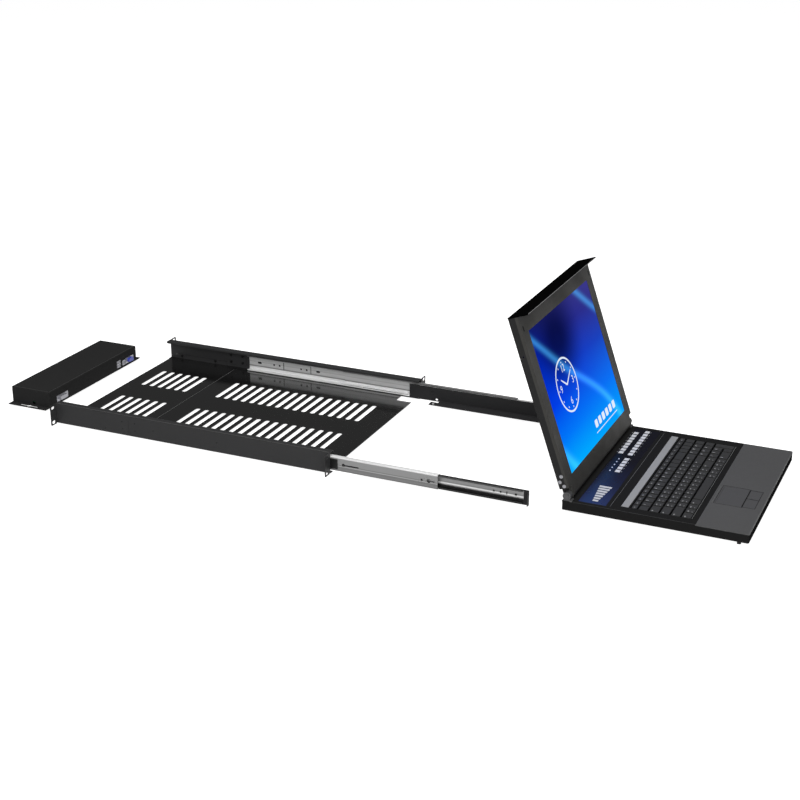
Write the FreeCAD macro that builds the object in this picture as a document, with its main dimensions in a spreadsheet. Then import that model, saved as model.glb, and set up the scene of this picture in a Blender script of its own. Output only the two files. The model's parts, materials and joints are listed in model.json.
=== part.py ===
"""Rackmount LCD console drawer, one rack unit high, as separate named pieces.

Axes: +X to the right seen from the front, -Y the way the drawer pulls out, +Z up.
Origin: centre of the front ears' hole pattern, on the ears' front face.
Pieces are drawn from the chassis underside and the end of the closed slides. Each node's
placement then moves it to the origin. The lid is drawn shut and turned open.
Right-hand pieces are drawn and left-hand ones are their mirror images.
"""
import FreeCAD, Part
import math
import os
import re
import Sketcher

SIZES = {
    # Rack interface
    "ear_width": 20.6, "hole_inset": 8.75, "ear_corner": 3.0, "ear_lead": 11.0,
    "hole_pitch": 31.75, "ear_slot_width": 6.8, "ear_slot_length": 10.0,
    "chassis_width": 441.4, "chassis_height": 43.5,
    # Chassis
    "rail_sheet": 1.0, "bend": 2.0, "front_depth": 443.0, "seam": 0.4, "chassis_depth": 619.0,
    "lip_width": 16.0, "lip_return": 5.0, "foot_width": 12.0, "tray_sheet": 1.0, "tray_lead": 4.9,
    "tray_tail": 3.5, "tray_side_gap": 0.5, "notch_width": 40.0, "notch_depth": 35.0,
    "vent_length": 94.0, "vent_width": 10.0, "vent_pitch": 20.8, "vent_inner": 36.0,
    "vent_first": 57.5, "vent_count": 17, "rear_vent_first": 474.0, "rear_vent_count": 6,
    "flange_height": 12.0, "flange_start": 470.0, "flange_end": 604.0,
    "splice_length": 46.0, "splice_height": 28.0, "splice_sheet": 1.5, "splice_base": 7.5,
    "splice_hole_x": 30.0, "splice_hole_z": 16.0, "rivet_radius": 1.8, "rivet_head": 3.2,
    "rivet_head_thick": 1.0, "rivet_fit": 0.1, "flange_rivet_front": 500.0,
    "flange_rivet_rear": 588.0, "flange_rivet_z": 8.0,
    # Slides: u is the distance in from the rail's inner face
    "slide_base": 3.5, "slide_height": 35.0, "slide_thickness": 12.7, "slide_sheet": 1.0,
    "slide_corner": 2.0, "slide_inner_corner": 1.0, "slide_lip": 2.2, "lip_setback": 0.5,
    "outer_length": 411.0, "middle_length": 403.0, "inner_length": 408.5,
    "middle_reach": 232.0, "inner_reach": 397.5, "race_gap": 2.0,
    "middle_setback": 2.0, "middle_flange_end": 10.8, "inner_flange_start": 4.0, "race_u": 6.4,
    "ball_radius": 1.3, "ball_fit": 0.05, "cage_sheet": 0.8, "cage_web": 0.4, "cage_gap": 0.3,
    "cage_flange": 5.5, "cage_hole_fit": 0.15, "outer_cage_start": -26.0, "inner_cage_start": -187.0,
    "cage_length": 150.0, "cage_nose": 20.0, "nose_height": 20.0, "ball_pitch": 40.0,
    "ball_inset": 34.0, "ball_count": 3,
    "outer_hole_width": 5.0, "outer_hole_length": 10.0, "outer_hole_rear": 385.0,
    "outer_hole_front": 238.0, "tab_rear": 325.0, "tab_front": 257.0,
    "tab_height": 18.0, "tab_slit": 2.0, "tab_hole_radius": 2.4, "tab_hole_step": 14.0,
    "teardrop_y": -38.0, "teardrop_radius": 3.2, "teardrop_slot": 32.0, "teardrop_width": 2.6,
    "keyhole_radius": 4.0, "keyhole_inset": 18.0, "keyhole_slot": 12.0, "keyhole_width": 3.0,
    "small_hole_radius": 2.2, "small_hole_step": 14.0, "inner_hole_radius": 2.6,
    "inner_hole_inset": 15.0, "inner_slit_inset": 32.6, "inner_slit_width": 2.0,
    "inner_slit_height": 6.0, "inner_rear_inset": 58.0, "carrier_screw_head": 3.6,
    "carrier_screw_radius": 2.0, "carrier_screw_thick": 1.4,
    # Carriers
    "carrier_sheet": 1.0, "carrier_clear": 0.4, "carrier_top": 33.0, "carrier_reach": 407.5,
    "carrier_tail": 11.0, "ledge_edge": 180.0, "ledge_rear": 43.5, "ledge_front": 15.0,
    "ledge_tab": 16.0, "ledge_tab_hole": 2.6, "end_flange": 9.0, "carrier_hole_front": 353.0,
    "carrier_hole_rear": 40.0, "carrier_notch": 5.0, "carrier_notch_y": 55.0,
    # Console base
    "console_width": 397.2, "console_front": 805.5, "console_depth": 338.5, "console_thick": 17.5,
    "console_clear": 0.3, "pan_wall": 1.2, "corner": 3.0, "deck_sheet": 1.5, "panel_gap": 0.4,
    "edge_round": 0.8, "fit": 0.3,
    "control_rear": 494.0, "control_front": 546.0, "control_inset": 10.6, "control_flange": 2.5,
    "control_low": 0.3, "button_length": 11.0, "button_width": 9.0, "button_low": 0.1,
    "button_height": 4.0, "button_pitch": 15.0, "rear_row_y": 502.0, "rear_row_inset": 24.0,
    "rear_row_count": 8, "front_row_y": 521.5, "front_row_inset": 11.0, "front_row_count": 9,
    "menu_count": 5, "lamp_y": 507.0, "lamp_shift": -3.0, "lamp_pitch": 14.8, "lamp_count": 5,
    "lamp_length": 5.0, "lamp_width": 2.4,
    "deck_line_y": 553.0, "line_width": 1.0, "line_depth": 0.5,
    "strip_rear": 571.0, "strip_front": 585.0, "strip_thick": 1.0,
    "keys_rear": 588.0, "keys_front": 699.0, "key_tray_wall": 2.5, "key_tray_floor": 1.2,
    "key_tray_depth": 4.6, "trough_rear": 700.5, "trough_front": 710.5, "trough_depth": 1.0,
    "main_block": 15, "key_pitch": 19.0, "key_row": 19.6, "function_row": 13.0,
    "pad_columns": 4, "pad_pitch": 17.6, "pad_gap": 0.6, "key_gap": 0.8, "key_taper": 1.5,
    "key_height": 3.0, "key_low": 0.3,
    "touch_left": -93.0, "touch_right": -16.0, "touch_rear": 721.0, "touch_front": 769.0,
    "touch_low": 0.3, "touch_button_front": 792.0, "touch_gap": 0.4,
    "touch_split": 0.8, "touch_line_rear": 714.5, "touch_line_front": 718.0,
    "touch_shelf": 2.0, "touch_shelf_thick": 1.0, "touch_button_thick": 1.2,
    "pin_x": 188.0, "pin_y": 787.0, "pin_radius": 3.8, "pin_length": 7.6,
    "board_length": 330.0, "board_width": 62.0, "board_thick": 1.6, "board_rear": 488.0,
    "boss_radius": 3.0, "boss_height": 4.0, "boss_inset": 8.0,
    # Hinge
    "hinge_setback": 8.6, "lid_open": 109.3, "knuckle_width": 12.1, "knuckle_radius": 7.6,
    "knuckle_neck": 12.0, "hinge_pin_radius": 3.0, "hinge_fit": 0.05, "hinge_pin_length": 28.0,
    "hinge_head": 4.5, "hinge_head_thick": 0.8, "hinge_foot": 4.6, "hinge_foot_thick": 3.0,
    # Lid
    "lid_thick": 19.4, "lid_clear": 0.3, "lid_reach": 342.5, "bezel_thick": 6.0, "bezel_plate": 2.0,
    "lid_wall": 1.5, "lid_notch": 15.0, "lid_root": 17.0, "lid_corner": 2.0,
    "screen_width": 338.0, "screen_height": 276.0, "screen_bottom": 30.5, "module_rim": 5.0,
    "module_thick": 8.0, "glass_low": 0.8, "glass_gap": 0.3, "front_panel_thick": 2.0,
    "front_panel_depth": 39.4, "lid_screw_radius": 3.3, "lid_screw_thick": 1.2,
    "lid_screw_slot": 1.0, "low_screw_along": 19.5, "low_screw_rise": -1.6,
    "mid_screw_along": 28.5, "mid_screw_rise": 4.2, "high_screw_along": 38.5,
    "high_screw_rise": -1.4, "bumper_x": 188.0, "bumper_along": 316.0, "bumper_length": 10.0,
    "bumper_width": 4.0, "driver_length": 150.0, "driver_width": 46.0, "driver_along": 150.0,
    "side_hole_radius": 1.5, "side_hole_along": 268.0,
    # Taken-off module
    "module_front": 678.0, "module_depth": 96.0, "module_half": 163.4, "module_height": 35.0,
    "module_sheet": 1.2, "module_ear": 16.6, "module_clear": 0.3, "module_slot": 44.0,
    "module_slot_width": 4.0, "module_slot_x": 172.0, "module_slot_hole": 4.2,
    "side_port": 8.0, "side_port_y": 719.0, "module_board_inset": 7.0, "module_boss": 3.0,
    "port_fit": 0.3, "dsub_x": -119.7, "dsub_flange_width": 39.0, "dsub_flange_height": 12.5,
    "dsub_flange_thick": 1.0, "dsub_shell_width": 25.0, "dsub_shell_height": 8.4,
    "dsub_shell_length": 6.0, "dsub_body_depth": 12.0, "vga_x": 136.0, "vga_flange_width": 31.0,
    "vga_shell_width": 17.0, "usb_x": 93.0, "usb_width": 13.2, "usb_height": 15.6,
    "usb_depth": 17.0, "usb_proud": 1.0, "usb_mouth_width": 12.0, "usb_mouth_height": 4.6,
    "usb_tongue": 1.8, "usb_mouth_depth": 9.0, "din_x": 113.0, "din_width": 11.0,
    "din_height": 11.0, "din_radius": 4.0,
}

doc = FreeCAD.newDocument("ConsoleDrawer")
sheet = doc.addObject("Spreadsheet::Sheet", "Sizes")
for row, (alias, value) in enumerate(SIZES.items(), start=1):
    sheet.set(f"A{row}", alias)
    sheet.set(f"B{row}", str(value))
    sheet.setAlias(f"B{row}", alias)
doc.recompute()

# Levels and places that several pieces share, as expressions in the sheet's aliases
HALF = "(chassis_width / 2)"
WALL = "(chassis_width / 2 - rail_sheet)"
TRAY_TOP = "(rail_sheet + tray_sheet)"
LEDGE_LOW = "(rail_sheet + tray_sheet + carrier_clear)"
BASE_LOW = "(rail_sheet + tray_sheet + carrier_clear + carrier_sheet + console_clear)"
DECK_TOP = f"({BASE_LOW} + console_thick)"
DECK_LOW = f"({DECK_TOP} - deck_sheet)"
BASE_HALF = "(console_width / 2)"
BASE_REAR = "(console_depth - console_front)"
LID_LOW = f"({DECK_TOP} + lid_clear)"
LID_TOP = f"({LID_LOW} + lid_thick)"
LID_SEAM = f"({LID_LOW} + bezel_thick)"
HINGE_Y = "(console_depth - console_front - hinge_setback)"
HINGE_Z = f"({LID_LOW} + lid_thick / 2)"
SLIDE_Z = "(slide_base + slide_height / 2)"
OUTER_RACE = "(slide_height / 2 - slide_sheet - race_gap / 2)"
INNER_RACE = f"({OUTER_RACE} - race_gap - slide_sheet)"
MIDDLE_HALF = f"({OUTER_RACE} - race_gap / 2)"
INNER_HALF = f"({INNER_RACE} - race_gap / 2)"
CARRIER_OUT = f"({WALL} - slide_thickness)"
MODULE_LOW = f"({TRAY_TOP} + module_clear)"
KEYS_HALF = "((main_block * key_pitch + pad_gap + pad_columns * pad_pitch) / 2)"
CONTROL_HALF = "(console_width / 2 - control_inset)"

nodes = []


def linked(value):
    """An expression in which each alias is read from the sheet."""
    return re.sub(r"[a-z_]\w*", lambda m: f"Sizes.{m[0]}" if m[0] in SIZES else m[0], str(value))


def bind(item, **links):
    """Bind properties to expressions; a double underscore in a name stands for a dot."""
    for name, value in links.items():
        item.setExpression(name.replace("__", "."), linked(value))
    return item


def block(x, y, z):
    """A box between a low and a high value on each axis."""
    box = doc.addObject("Part::Box", "Block")
    sides = {"Length": x, "Width": y, "Height": z}
    bind(box, **{name: f"({high}) - ({low})" for name, (low, high) in sides.items()})
    return bind(box, Placement__Base__x=x[0], Placement__Base__y=y[0], Placement__Base__z=z[0])


def rod(axis, radius, span, centre):
    """A cylinder along an axis, over a span, about the other two coordinates in X, Y, Z order."""
    turns = {"x": ((0, 1, 0), 90), "y": ((1, 0, 0), -90), "z": ((0, 0, 1), 0)}
    cylinder = doc.addObject("Part::Cylinder", "Rod")
    direction, angle = turns[axis]
    turn = FreeCAD.Rotation(FreeCAD.Vector(*direction), angle)
    cylinder.Placement = FreeCAD.Placement(FreeCAD.Vector(), turn)
    corner = dict(zip([name for name in "xyz" if name != axis], centre))
    corner[axis] = span[0]
    bind(cylinder, Radius=radius, Height=f"({span[1]}) - ({span[0]})")
    return bind(cylinder, **{f"Placement__Base__{name}": place for name, place in corner.items()})


def fused(*items):
    whole = doc.addObject("Part::MultiFuse", "Fused")
    whole.Shapes = list(items)
    whole.Refine = True
    return whole


def group(*items):
    several = doc.addObject("Part::Compound", "Group")
    several.Links = list(items)
    return several


def cut(base, *tools):
    result = doc.addObject("Part::Cut", "Cut")
    result.Base = base
    result.Tool = tools[0] if len(tools) == 1 else fused(*tools)
    return result


def common(first, second):
    result = doc.addObject("Part::MultiCommon", "Common")
    result.Shapes = [first, second]
    return result


# A box's edges: upright, then along Y at the top and bottom, and along X at the top front
UPRIGHT_EDGES = (1, 3, 5, 7)
FRONT_UPRIGHTS = (1, 5)
TOP_SIDES = (2, 6)
LOW_SIDES = (4, 8)
INNER_LONG_EDGES = (2, 4)
OUTER_LONG_EDGES = (6, 8)
TOP_ENDS = (10, 12)


def softened(box, edges, radius):
    """A box with some of its edges rounded to a size from the sheet."""
    rounded_box = doc.addObject("Part::Fillet", "Softened")
    rounded_box.Base = box
    doc.recompute()
    rounded_box.Edges = [(edge, getattr(sheet, radius), getattr(sheet, radius)) for edge in edges]
    return rounded_box


def mirrored(item):
    image = doc.addObject("Part::Mirroring", "Mirrored")
    image.Source = item
    image.Normal = FreeCAD.Vector(1, 0, 0)
    return image


def both(item):
    """A right-hand piece and its left-hand image."""
    return group(item, mirrored(item))


def slot(axis, length, width, centre, span):
    """A round-ended slot cut along Z or X: long in X and through Y, or long in Y and through X or Z."""
    x, y, z = centre
    half = f"({length}) / 2 - ({width}) / 2"
    if axis == "y":
        ends = [rod("y", f"({width}) / 2", span, (f"{x} + {sign}({half})", z)) for sign in ("", "-")]
        bar = block((f"{x} - ({half})", f"{x} + {half}"), span,
                    (f"{z} - ({width}) / 2", f"{z} + ({width}) / 2"))
    elif axis == "x":
        ends = [rod("x", f"({width}) / 2", span, (f"{y} + {sign}({half})", z)) for sign in ("", "-")]
        bar = block(span, (f"{y} - ({half})", f"{y} + {half}"),
                    (f"{z} - ({width}) / 2", f"{z} + ({width}) / 2"))
    else:
        ends = [rod("z", f"({width}) / 2", span, (x, f"{y} + {sign}({half})")) for sign in ("", "-")]
        bar = block((f"{x} - ({width}) / 2", f"{x} + ({width}) / 2"),
                    (f"{y} - ({half})", f"{y} + {half}"), span)
    return fused(bar, *ends)


def node(label, item):
    """Name a sub-part and move it so that the front hole pattern's centre is the origin."""
    item.Label = label
    bind(item, Placement__Base__y="ear_lead", Placement__Base__z="-chassis_height / 2")
    nodes.append(item)
    return item


def image_node(label, item):
    """Name the left-hand image of a right-hand sub-part that is already in place."""
    image = mirrored(item)
    image.Label = label
    nodes.append(image)


def hand_pair(name, item):
    image_node(f"left_{name}", node(f"right_{name}", item))


def lid_node(label, item):
    """Name a sub-part drawn with the lid shut, turned open about the hinge and moved likewise."""
    item.Label = label
    centre = f"create(<<vector>>; 0; {HINGE_Y}; {HINGE_Z})"
    turn = "create(<<rotation>>; create(<<vector>>; 1; 0; 0); -lid_open)"
    move = "create(<<vector>>; 0; ear_lead; -chassis_height / 2)"
    bind(item, Placement=f"create(<<placement>>; {move}; {turn}; {centre})")
    nodes.append(item)


# Sheet metal folded from a path


def offset_path(path, distance):
    """The path's points moved to its left by a distance, mitred at its corners."""
    moved = []
    for index, point in enumerate(path):
        normals = []
        for start, end in ((index - 1, index), (index, index + 1)):
            if 0 <= start and end < len(path):
                along = (path[end] - path[start]).normalize()
                normals.append(FreeCAD.Vector(-along.z, 0, along.x))
        mitre = normals[0] + normals[-1] if len(normals) == 2 else normals[0]
        moved.append(point + mitre * (distance / mitre.dot(normals[0])))
    return moved


def rounded_outline(corners):
    """A closed wire through (point, radius) corners, with an arc at each that has a radius."""
    edges = []
    ends = []
    for index, (point, radius) in enumerate(corners):
        before = (corners[index - 1][0] - point).normalize()
        after = (corners[(index + 1) % len(corners)][0] - point).normalize()
        if radius == 0:
            ends.append((point, point))
            continue
        middle = (before + after).normalize()
        half_angle = math.acos(before.dot(middle))
        reach = radius / math.tan(half_angle)
        apex = point + middle * (radius / math.sin(half_angle) - radius)
        ends.append((point + before * reach, point + after * reach))
        edges.append(Part.Arc(ends[-1][0], apex, ends[-1][1]).toShape())
    for index, (_, leave) in enumerate(ends):
        edges.append(Part.LineSegment(leave, ends[(index + 1) % len(ends)][0]).toShape())
    return Part.Wire(Part.sortEdges(edges)[0])


def folded(name, path, thickness, y_low, y_high):
    """A sheet folded to the left of a path of left-hand bends in XZ, and as long as its Y span."""
    path = [FreeCAD.Vector(x, 0, z) for x, z in path]
    inside = offset_path(path, thickness)
    bends = [0] + [sheet.bend] * (len(path) - 2) + [0]
    inner_bends = [max(bend - thickness, 0) for bend in bends]
    corners = list(zip(path, bends)) + list(zip(reversed(inside), reversed(inner_bends)))
    profile = Part.Face(rounded_outline(corners))
    profile.translate(FreeCAD.Vector(0, y_low, 0))
    item = doc.addObject("Part::Feature", name)
    item.Shape = profile.extrude(FreeCAD.Vector(0, y_high - y_low, 0))
    return item


# Chassis


def tray_body(name, corners):
    """A PartDesign plate whose outline's corners are bound to the sheet."""
    body = doc.addObject("PartDesign::Body", name)
    planes = {feature.Role: feature for feature in body.Origin.OriginFeatures}
    outline = body.newObject("Sketcher::SketchObject", "Outline")
    outline.AttachmentSupport = [(planes["XY_Plane"], "")]
    outline.MapMode = "FlatFace"
    bind(outline, AttachmentOffset__Base__z="rail_sheet")
    for index in range(len(corners)):
        start = FreeCAD.Vector(10 * index, 0, 0)
        outline.addGeometry(Part.LineSegment(start, start + FreeCAD.Vector(10, 5, 0)))
    for index, corner in enumerate(corners):
        follower = (index + 1) % len(corners)
        outline.addConstraint(Sketcher.Constraint("Coincident", index, 2, follower, 1))
    for index, corner in enumerate(corners):
        for kind, place in zip(("DistanceX", "DistanceY"), corner):
            number = outline.addConstraint(Sketcher.Constraint(kind, -1, 1, index, 1, 1.0))
            outline.setExpression(f"Constraints[{number}]", linked(place))
    plate = body.newObject("PartDesign::Pad", "Plate")
    plate.Profile = outline
    bind(plate, Length="tray_sheet")
    doc.recompute()
    return body, planes


def vented(body, planes, first, count):
    """Cut two rows of round-ended slots through a tray, repeated along Y."""
    vents = body.newObject("Sketcher::SketchObject", "Vents")
    vents.AttachmentSupport = [(planes["XY_Plane"], "")]
    vents.MapMode = "FlatFace"
    bind(vents, AttachmentOffset__Base__z="rail_sheet")
    radius = sheet.vent_width / 2
    for sign, low, high in (("", "vent_inner", "vent_inner + vent_length"),
                            ("-", "vent_inner + vent_length", "vent_inner")):
        left = f"{sign}({low}) + vent_width / 2"
        right = f"{sign}({high}) - vent_width / 2"
        start = vents.GeometryCount
        near = sheet.vent_inner + radius
        far = sheet.vent_inner + sheet.vent_length - radius
        ends = (near, far) if sign == "" else (-far, -near)
        centres = [FreeCAD.Vector(x, sheet.vent_first, 0) for x in ends]
        up = FreeCAD.Vector(0, radius, 0)
        circles = [Part.Circle(centre, FreeCAD.Vector(0, 0, 1), radius) for centre in centres]
        vents.addGeometry(Part.ArcOfCircle(circles[0], math.pi / 2, 3 * math.pi / 2))
        vents.addGeometry(Part.LineSegment(centres[0] - up, centres[1] - up))
        vents.addGeometry(Part.ArcOfCircle(circles[1], -math.pi / 2, math.pi / 2))
        vents.addGeometry(Part.LineSegment(centres[1] + up, centres[0] + up))
        for step in range(4):
            follower = start + (step + 1) % 4
            vents.addConstraint(Sketcher.Constraint("Tangent", start + step, 2, follower, 1))
        vents.addConstraint(Sketcher.Constraint("Equal", start, start + 2))
        driving = [("Radius", (start, radius), "vent_width / 2"),
                   ("DistanceX", (-1, 1, start, 3, centres[0].x), left),
                   ("DistanceY", (-1, 1, start, 3, centres[0].y), first),
                   ("DistanceX", (-1, 1, start + 2, 3, centres[1].x), right),
                   ("DistanceY", (-1, 1, start + 2, 3, centres[1].y), first)]
        for kind, references, value in driving:
            number = vents.addConstraint(Sketcher.Constraint(kind, *references))
            vents.setExpression(f"Constraints[{number}]", linked(value))
    holes = body.newObject("PartDesign::Pocket", "VentPair")
    holes.Profile = vents
    holes.Type = "ThroughAll"
    holes.Reversed = True
    pattern = body.newObject("PartDesign::LinearPattern", "VentRows")
    pattern.Originals = [holes]
    pattern.Direction = (planes["Y_Axis"], [""])
    bind(pattern, Length=f"vent_pitch * ({count} - 1)", Occurrences=count)
    body.Tip = pattern
    doc.recompute()
    return body


TRAY_HALF = f"({WALL} - tray_side_gap)"
NOTCH_X = f"({TRAY_HALF} - notch_width)"
NOTCH_Y = "(notch_depth - tray_lead)"
FRONT_OUTLINE = [
    (f"-{TRAY_HALF}", "front_depth"), (f"-{TRAY_HALF}", NOTCH_Y), (f"-{NOTCH_X}", NOTCH_Y),
    (f"-{NOTCH_X}", "-tray_lead"), (NOTCH_X, "-tray_lead"), (NOTCH_X, NOTCH_Y),
    (TRAY_HALF, NOTCH_Y), (TRAY_HALF, "front_depth"),
]
REAR_START = "(front_depth + seam)"
REAR_END = "(chassis_depth - tray_tail)"
REAR_OUTLINE = [
    (f"-{TRAY_HALF}", REAR_END), (f"-{TRAY_HALF}", REAR_START), (TRAY_HALF, REAR_START),
    (TRAY_HALF, REAR_END),
]
front_tray, front_planes = tray_body("FrontTray", FRONT_OUTLINE)
node("front_tray", vented(front_tray, front_planes, "vent_first", "vent_count"))

rear_plate, rear_planes = tray_body("RearTray", REAR_OUTLINE)
vented(rear_plate, rear_planes, "rear_vent_first", "rear_vent_count")
FLANGE_X = f"({TRAY_HALF} - tray_sheet)"
flange = block((FLANGE_X, TRAY_HALF), ("flange_start", "flange_end"), ("rail_sheet", "flange_height"))
flange_rivet_ys = ("flange_rivet_front", "flange_rivet_rear")
flange_holes = [rod("x", "rivet_radius + rivet_fit", (f"{FLANGE_X} - 1", f"{TRAY_HALF} + 1"),
                    (y, "flange_rivet_z")) for y in flange_rivet_ys]
drilled_flange = cut(flange, *flange_holes)
node("rear_tray", fused(rear_plate, drilled_flange, mirrored(drilled_flange)))

SPLICE_Z = ["splice_base + (splice_height - splice_hole_z) / 2",
            "splice_base + (splice_height + splice_hole_z) / 2"]
SPLICE_MIDDLE = "(front_depth + seam / 2)"
FRONT_SPLICE = [(f"{SPLICE_MIDDLE} - splice_hole_x / 2", z) for z in SPLICE_Z]
REAR_SPLICE = [(f"{SPLICE_MIDDLE} + splice_hole_x / 2", z) for z in SPLICE_Z]
SLIDE_RIVETS = [(y, SLIDE_Z) for y in ("outer_hole_front", "outer_hole_rear")]
FLANGE_RIVETS = [(y, "flange_rivet_z") for y in flange_rivet_ys]


EAR_EDGE = f"({HALF} + ear_width)"


def rail(name, ear_low, ear_high, y_low, y_high, holes):
    """A C-shaped side rail with a returned top lip and a rack ear."""
    half = sheet.chassis_width / 2
    lip = half - sheet.lip_width
    path = [(half - sheet.foot_width, 0), (half, 0), (half, sheet.chassis_height),
            (lip, sheet.chassis_height), (lip, sheet.chassis_height - sheet.lip_return)]
    profile = folded(name, path, sheet.rail_sheet, y_low, y_high)
    root = block((WALL, f"{HALF} + 2 * bend"), (ear_low, ear_high), ("bend", "chassis_height - bend"))
    ear = softened(block((f"{HALF} + bend", EAR_EDGE), (ear_low, ear_high), ("0", "chassis_height")),
                   OUTER_LONG_EDGES, "ear_corner")
    slots = [slot("y", "ear_slot_length", "ear_slot_width",
                  (f"{EAR_EDGE} - hole_inset", "0", f"chassis_height / 2 {sign} hole_pitch / 2"),
                  (f"{ear_low} - 1", f"{ear_high} + 1")) for sign in "+-"]
    bores = [rod("x", "rivet_radius + rivet_fit", (f"{WALL} - 1", f"{HALF} + 1"), hole)
             for hole in holes]
    return cut(fused(profile, root, ear), *slots, *bores)


hand_pair("front_rail", rail("FrontRailFold", "-ear_lead", "rail_sheet - ear_lead", -sheet.ear_lead,
                             sheet.front_depth,
                             SLIDE_RIVETS + FRONT_SPLICE))
hand_pair("rear_rail", rail("RearRailFold", "chassis_depth - rail_sheet", "chassis_depth",
                            sheet.front_depth + sheet.seam, sheet.chassis_depth,
                            REAR_SPLICE + FLANGE_RIVETS))

SPLICE_X = f"({WALL} - splice_sheet)"
splice = block((SPLICE_X, WALL), (f"{SPLICE_MIDDLE} - splice_length / 2",
                                  f"{SPLICE_MIDDLE} + splice_length / 2"),
               ("splice_base", "splice_base + splice_height"))
splice_holes = [rod("x", "rivet_radius + rivet_fit", (f"{SPLICE_X} - 1", f"{WALL} + 1"), hole)
                for hole in FRONT_SPLICE + REAR_SPLICE]
node("splice_plates", both(cut(splice, *splice_holes)))


def headed(seat, hole):
    """A rivet or screw flush with the rail's outside, with its head inside on its seat."""
    shank = rod("x", "rivet_radius", (seat, HALF), hole)
    head = rod("x", "rivet_head", (f"{seat} - rivet_head_thick", seat), hole)
    return fused(shank, head)


flush_rivets = [rod("x", "rivet_radius", (f"{WALL} - slide_sheet", HALF), hole) for hole in SLIDE_RIVETS]
splice_screws = [headed(SPLICE_X, hole) for hole in FRONT_SPLICE + REAR_SPLICE]
tray_rivets = [headed(FLANGE_X, hole) for hole in FLANGE_RIVETS]
node("chassis_screws", both(group(*flush_rivets, *splice_screws, *tray_rivets)))

# Ball-bearing slides. A place inside a slide is its distance u in from the rail.


def in_from_rail(start, end):
    """The X span of a span of u."""
    return f"{WALL} - ({end})", f"{WALL} - ({start})"


def channel(half, low_u, high_u, opening, y):
    """A folded channel with rounded shoulders, open towards the rail or away from it."""
    top = f"{SLIDE_Z} + {half}"
    low = f"{SLIDE_Z} - {half}"
    edges = OUTER_LONG_EDGES if opening == "away" else INNER_LONG_EDGES
    hollow_u = {"away": (f"{low_u} + slide_sheet", f"{high_u} + 1"),
                "rail": (f"{low_u} - 1", f"{high_u} - slide_sheet")}[opening]
    solid = softened(block(in_from_rail(low_u, high_u), y, (low, top)), edges, "slide_corner")
    hollow = softened(block(in_from_rail(*hollow_u), (f"{y[0]} - 1", f"{y[1]} + 1"),
                            (f"{low} + slide_sheet", f"{top} - slide_sheet")),
                      edges, "slide_inner_corner")
    return cut(solid, hollow)


def races(offset, y):
    """The grooves that balls run in, above and below the slide's middle."""
    return [rod("y", "ball_radius + ball_fit", y, (f"{WALL} - race_u", f"{SLIDE_Z} {sign} {offset}"))
            for sign in "+-"]


def web_hole(radius, y, z=SLIDE_Z):
    """A round hole through a slide's webs."""
    return rod("x", radius, in_from_rail("-1", "slide_thickness + 1"), (y, z))


OUTER_Y = ("0", "outer_length")
MIDDLE_Y = ("-middle_reach", "middle_length - middle_reach")
INNER_Y = ("-inner_reach", "inner_length - inner_reach")
OUTER_LIP_END = "slide_thickness - lip_setback"
outer = channel("slide_height / 2", "0", OUTER_LIP_END, "away", OUTER_Y)
LIP_X = in_from_rail(f"{OUTER_LIP_END} - slide_sheet", OUTER_LIP_END)
outer_lips = [block(LIP_X, OUTER_Y, lip_z)
              for lip_z in (("slide_base + slide_height - slide_lip", "slide_base + slide_height"),
                            ("slide_base", "slide_base + slide_lip"))]
outer_cuts = [slot("x", "outer_hole_length", "outer_hole_width", ("0", y, SLIDE_Z),
                   in_from_rail("-1", "slide_sheet + 1"))
              for y in ("outer_hole_front", "outer_hole_rear")]
for tab in ("tab_front", "tab_rear"):
    outer_cuts.append(block(in_from_rail("-1", "slide_sheet + 1"), (f"{tab} - tab_slit", tab),
                            (f"{SLIDE_Z} - tab_height / 2", f"{SLIDE_Z} + tab_height / 2")))
    for step in (1, 2):
        outer_cuts.append(rod("x", "tab_hole_radius", in_from_rail("-1", "slide_sheet + 1"),
                              (f"{tab} + tab_hole_step * {step} - tab_hole_step / 3", SLIDE_Z)))
outer_races = races(OUTER_RACE, ("-1", "outer_length + 1"))
hand_pair("slide_outer", cut(fused(outer, *outer_lips), *outer_races, *outer_cuts))

middle = channel(MIDDLE_HALF, "middle_setback", "middle_flange_end", "away", MIDDLE_Y)
KEYHOLE_Y = "(keyhole_inset - middle_reach)"
middle_cuts = [
    web_hole("teardrop_radius", "teardrop_y"),
    block(in_from_rail("0", "slide_thickness"), ("teardrop_y - teardrop_slot", "teardrop_y"),
          (f"{SLIDE_Z} - teardrop_width / 2", f"{SLIDE_Z} + teardrop_width / 2")),
    web_hole("keyhole_radius", KEYHOLE_Y),
    block(in_from_rail("0", "slide_thickness"), (f"{KEYHOLE_Y} - keyhole_slot", KEYHOLE_Y),
          (f"{SLIDE_Z} - keyhole_width / 2", f"{SLIDE_Z} + keyhole_width / 2")),
    web_hole("small_hole_radius", f"{KEYHOLE_Y} + small_hole_step"),
]
middle_races = races(OUTER_RACE, MIDDLE_Y) + races(INNER_RACE, MIDDLE_Y)
hand_pair("slide_middle", cut(middle, *middle_races, *middle_cuts))

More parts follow.
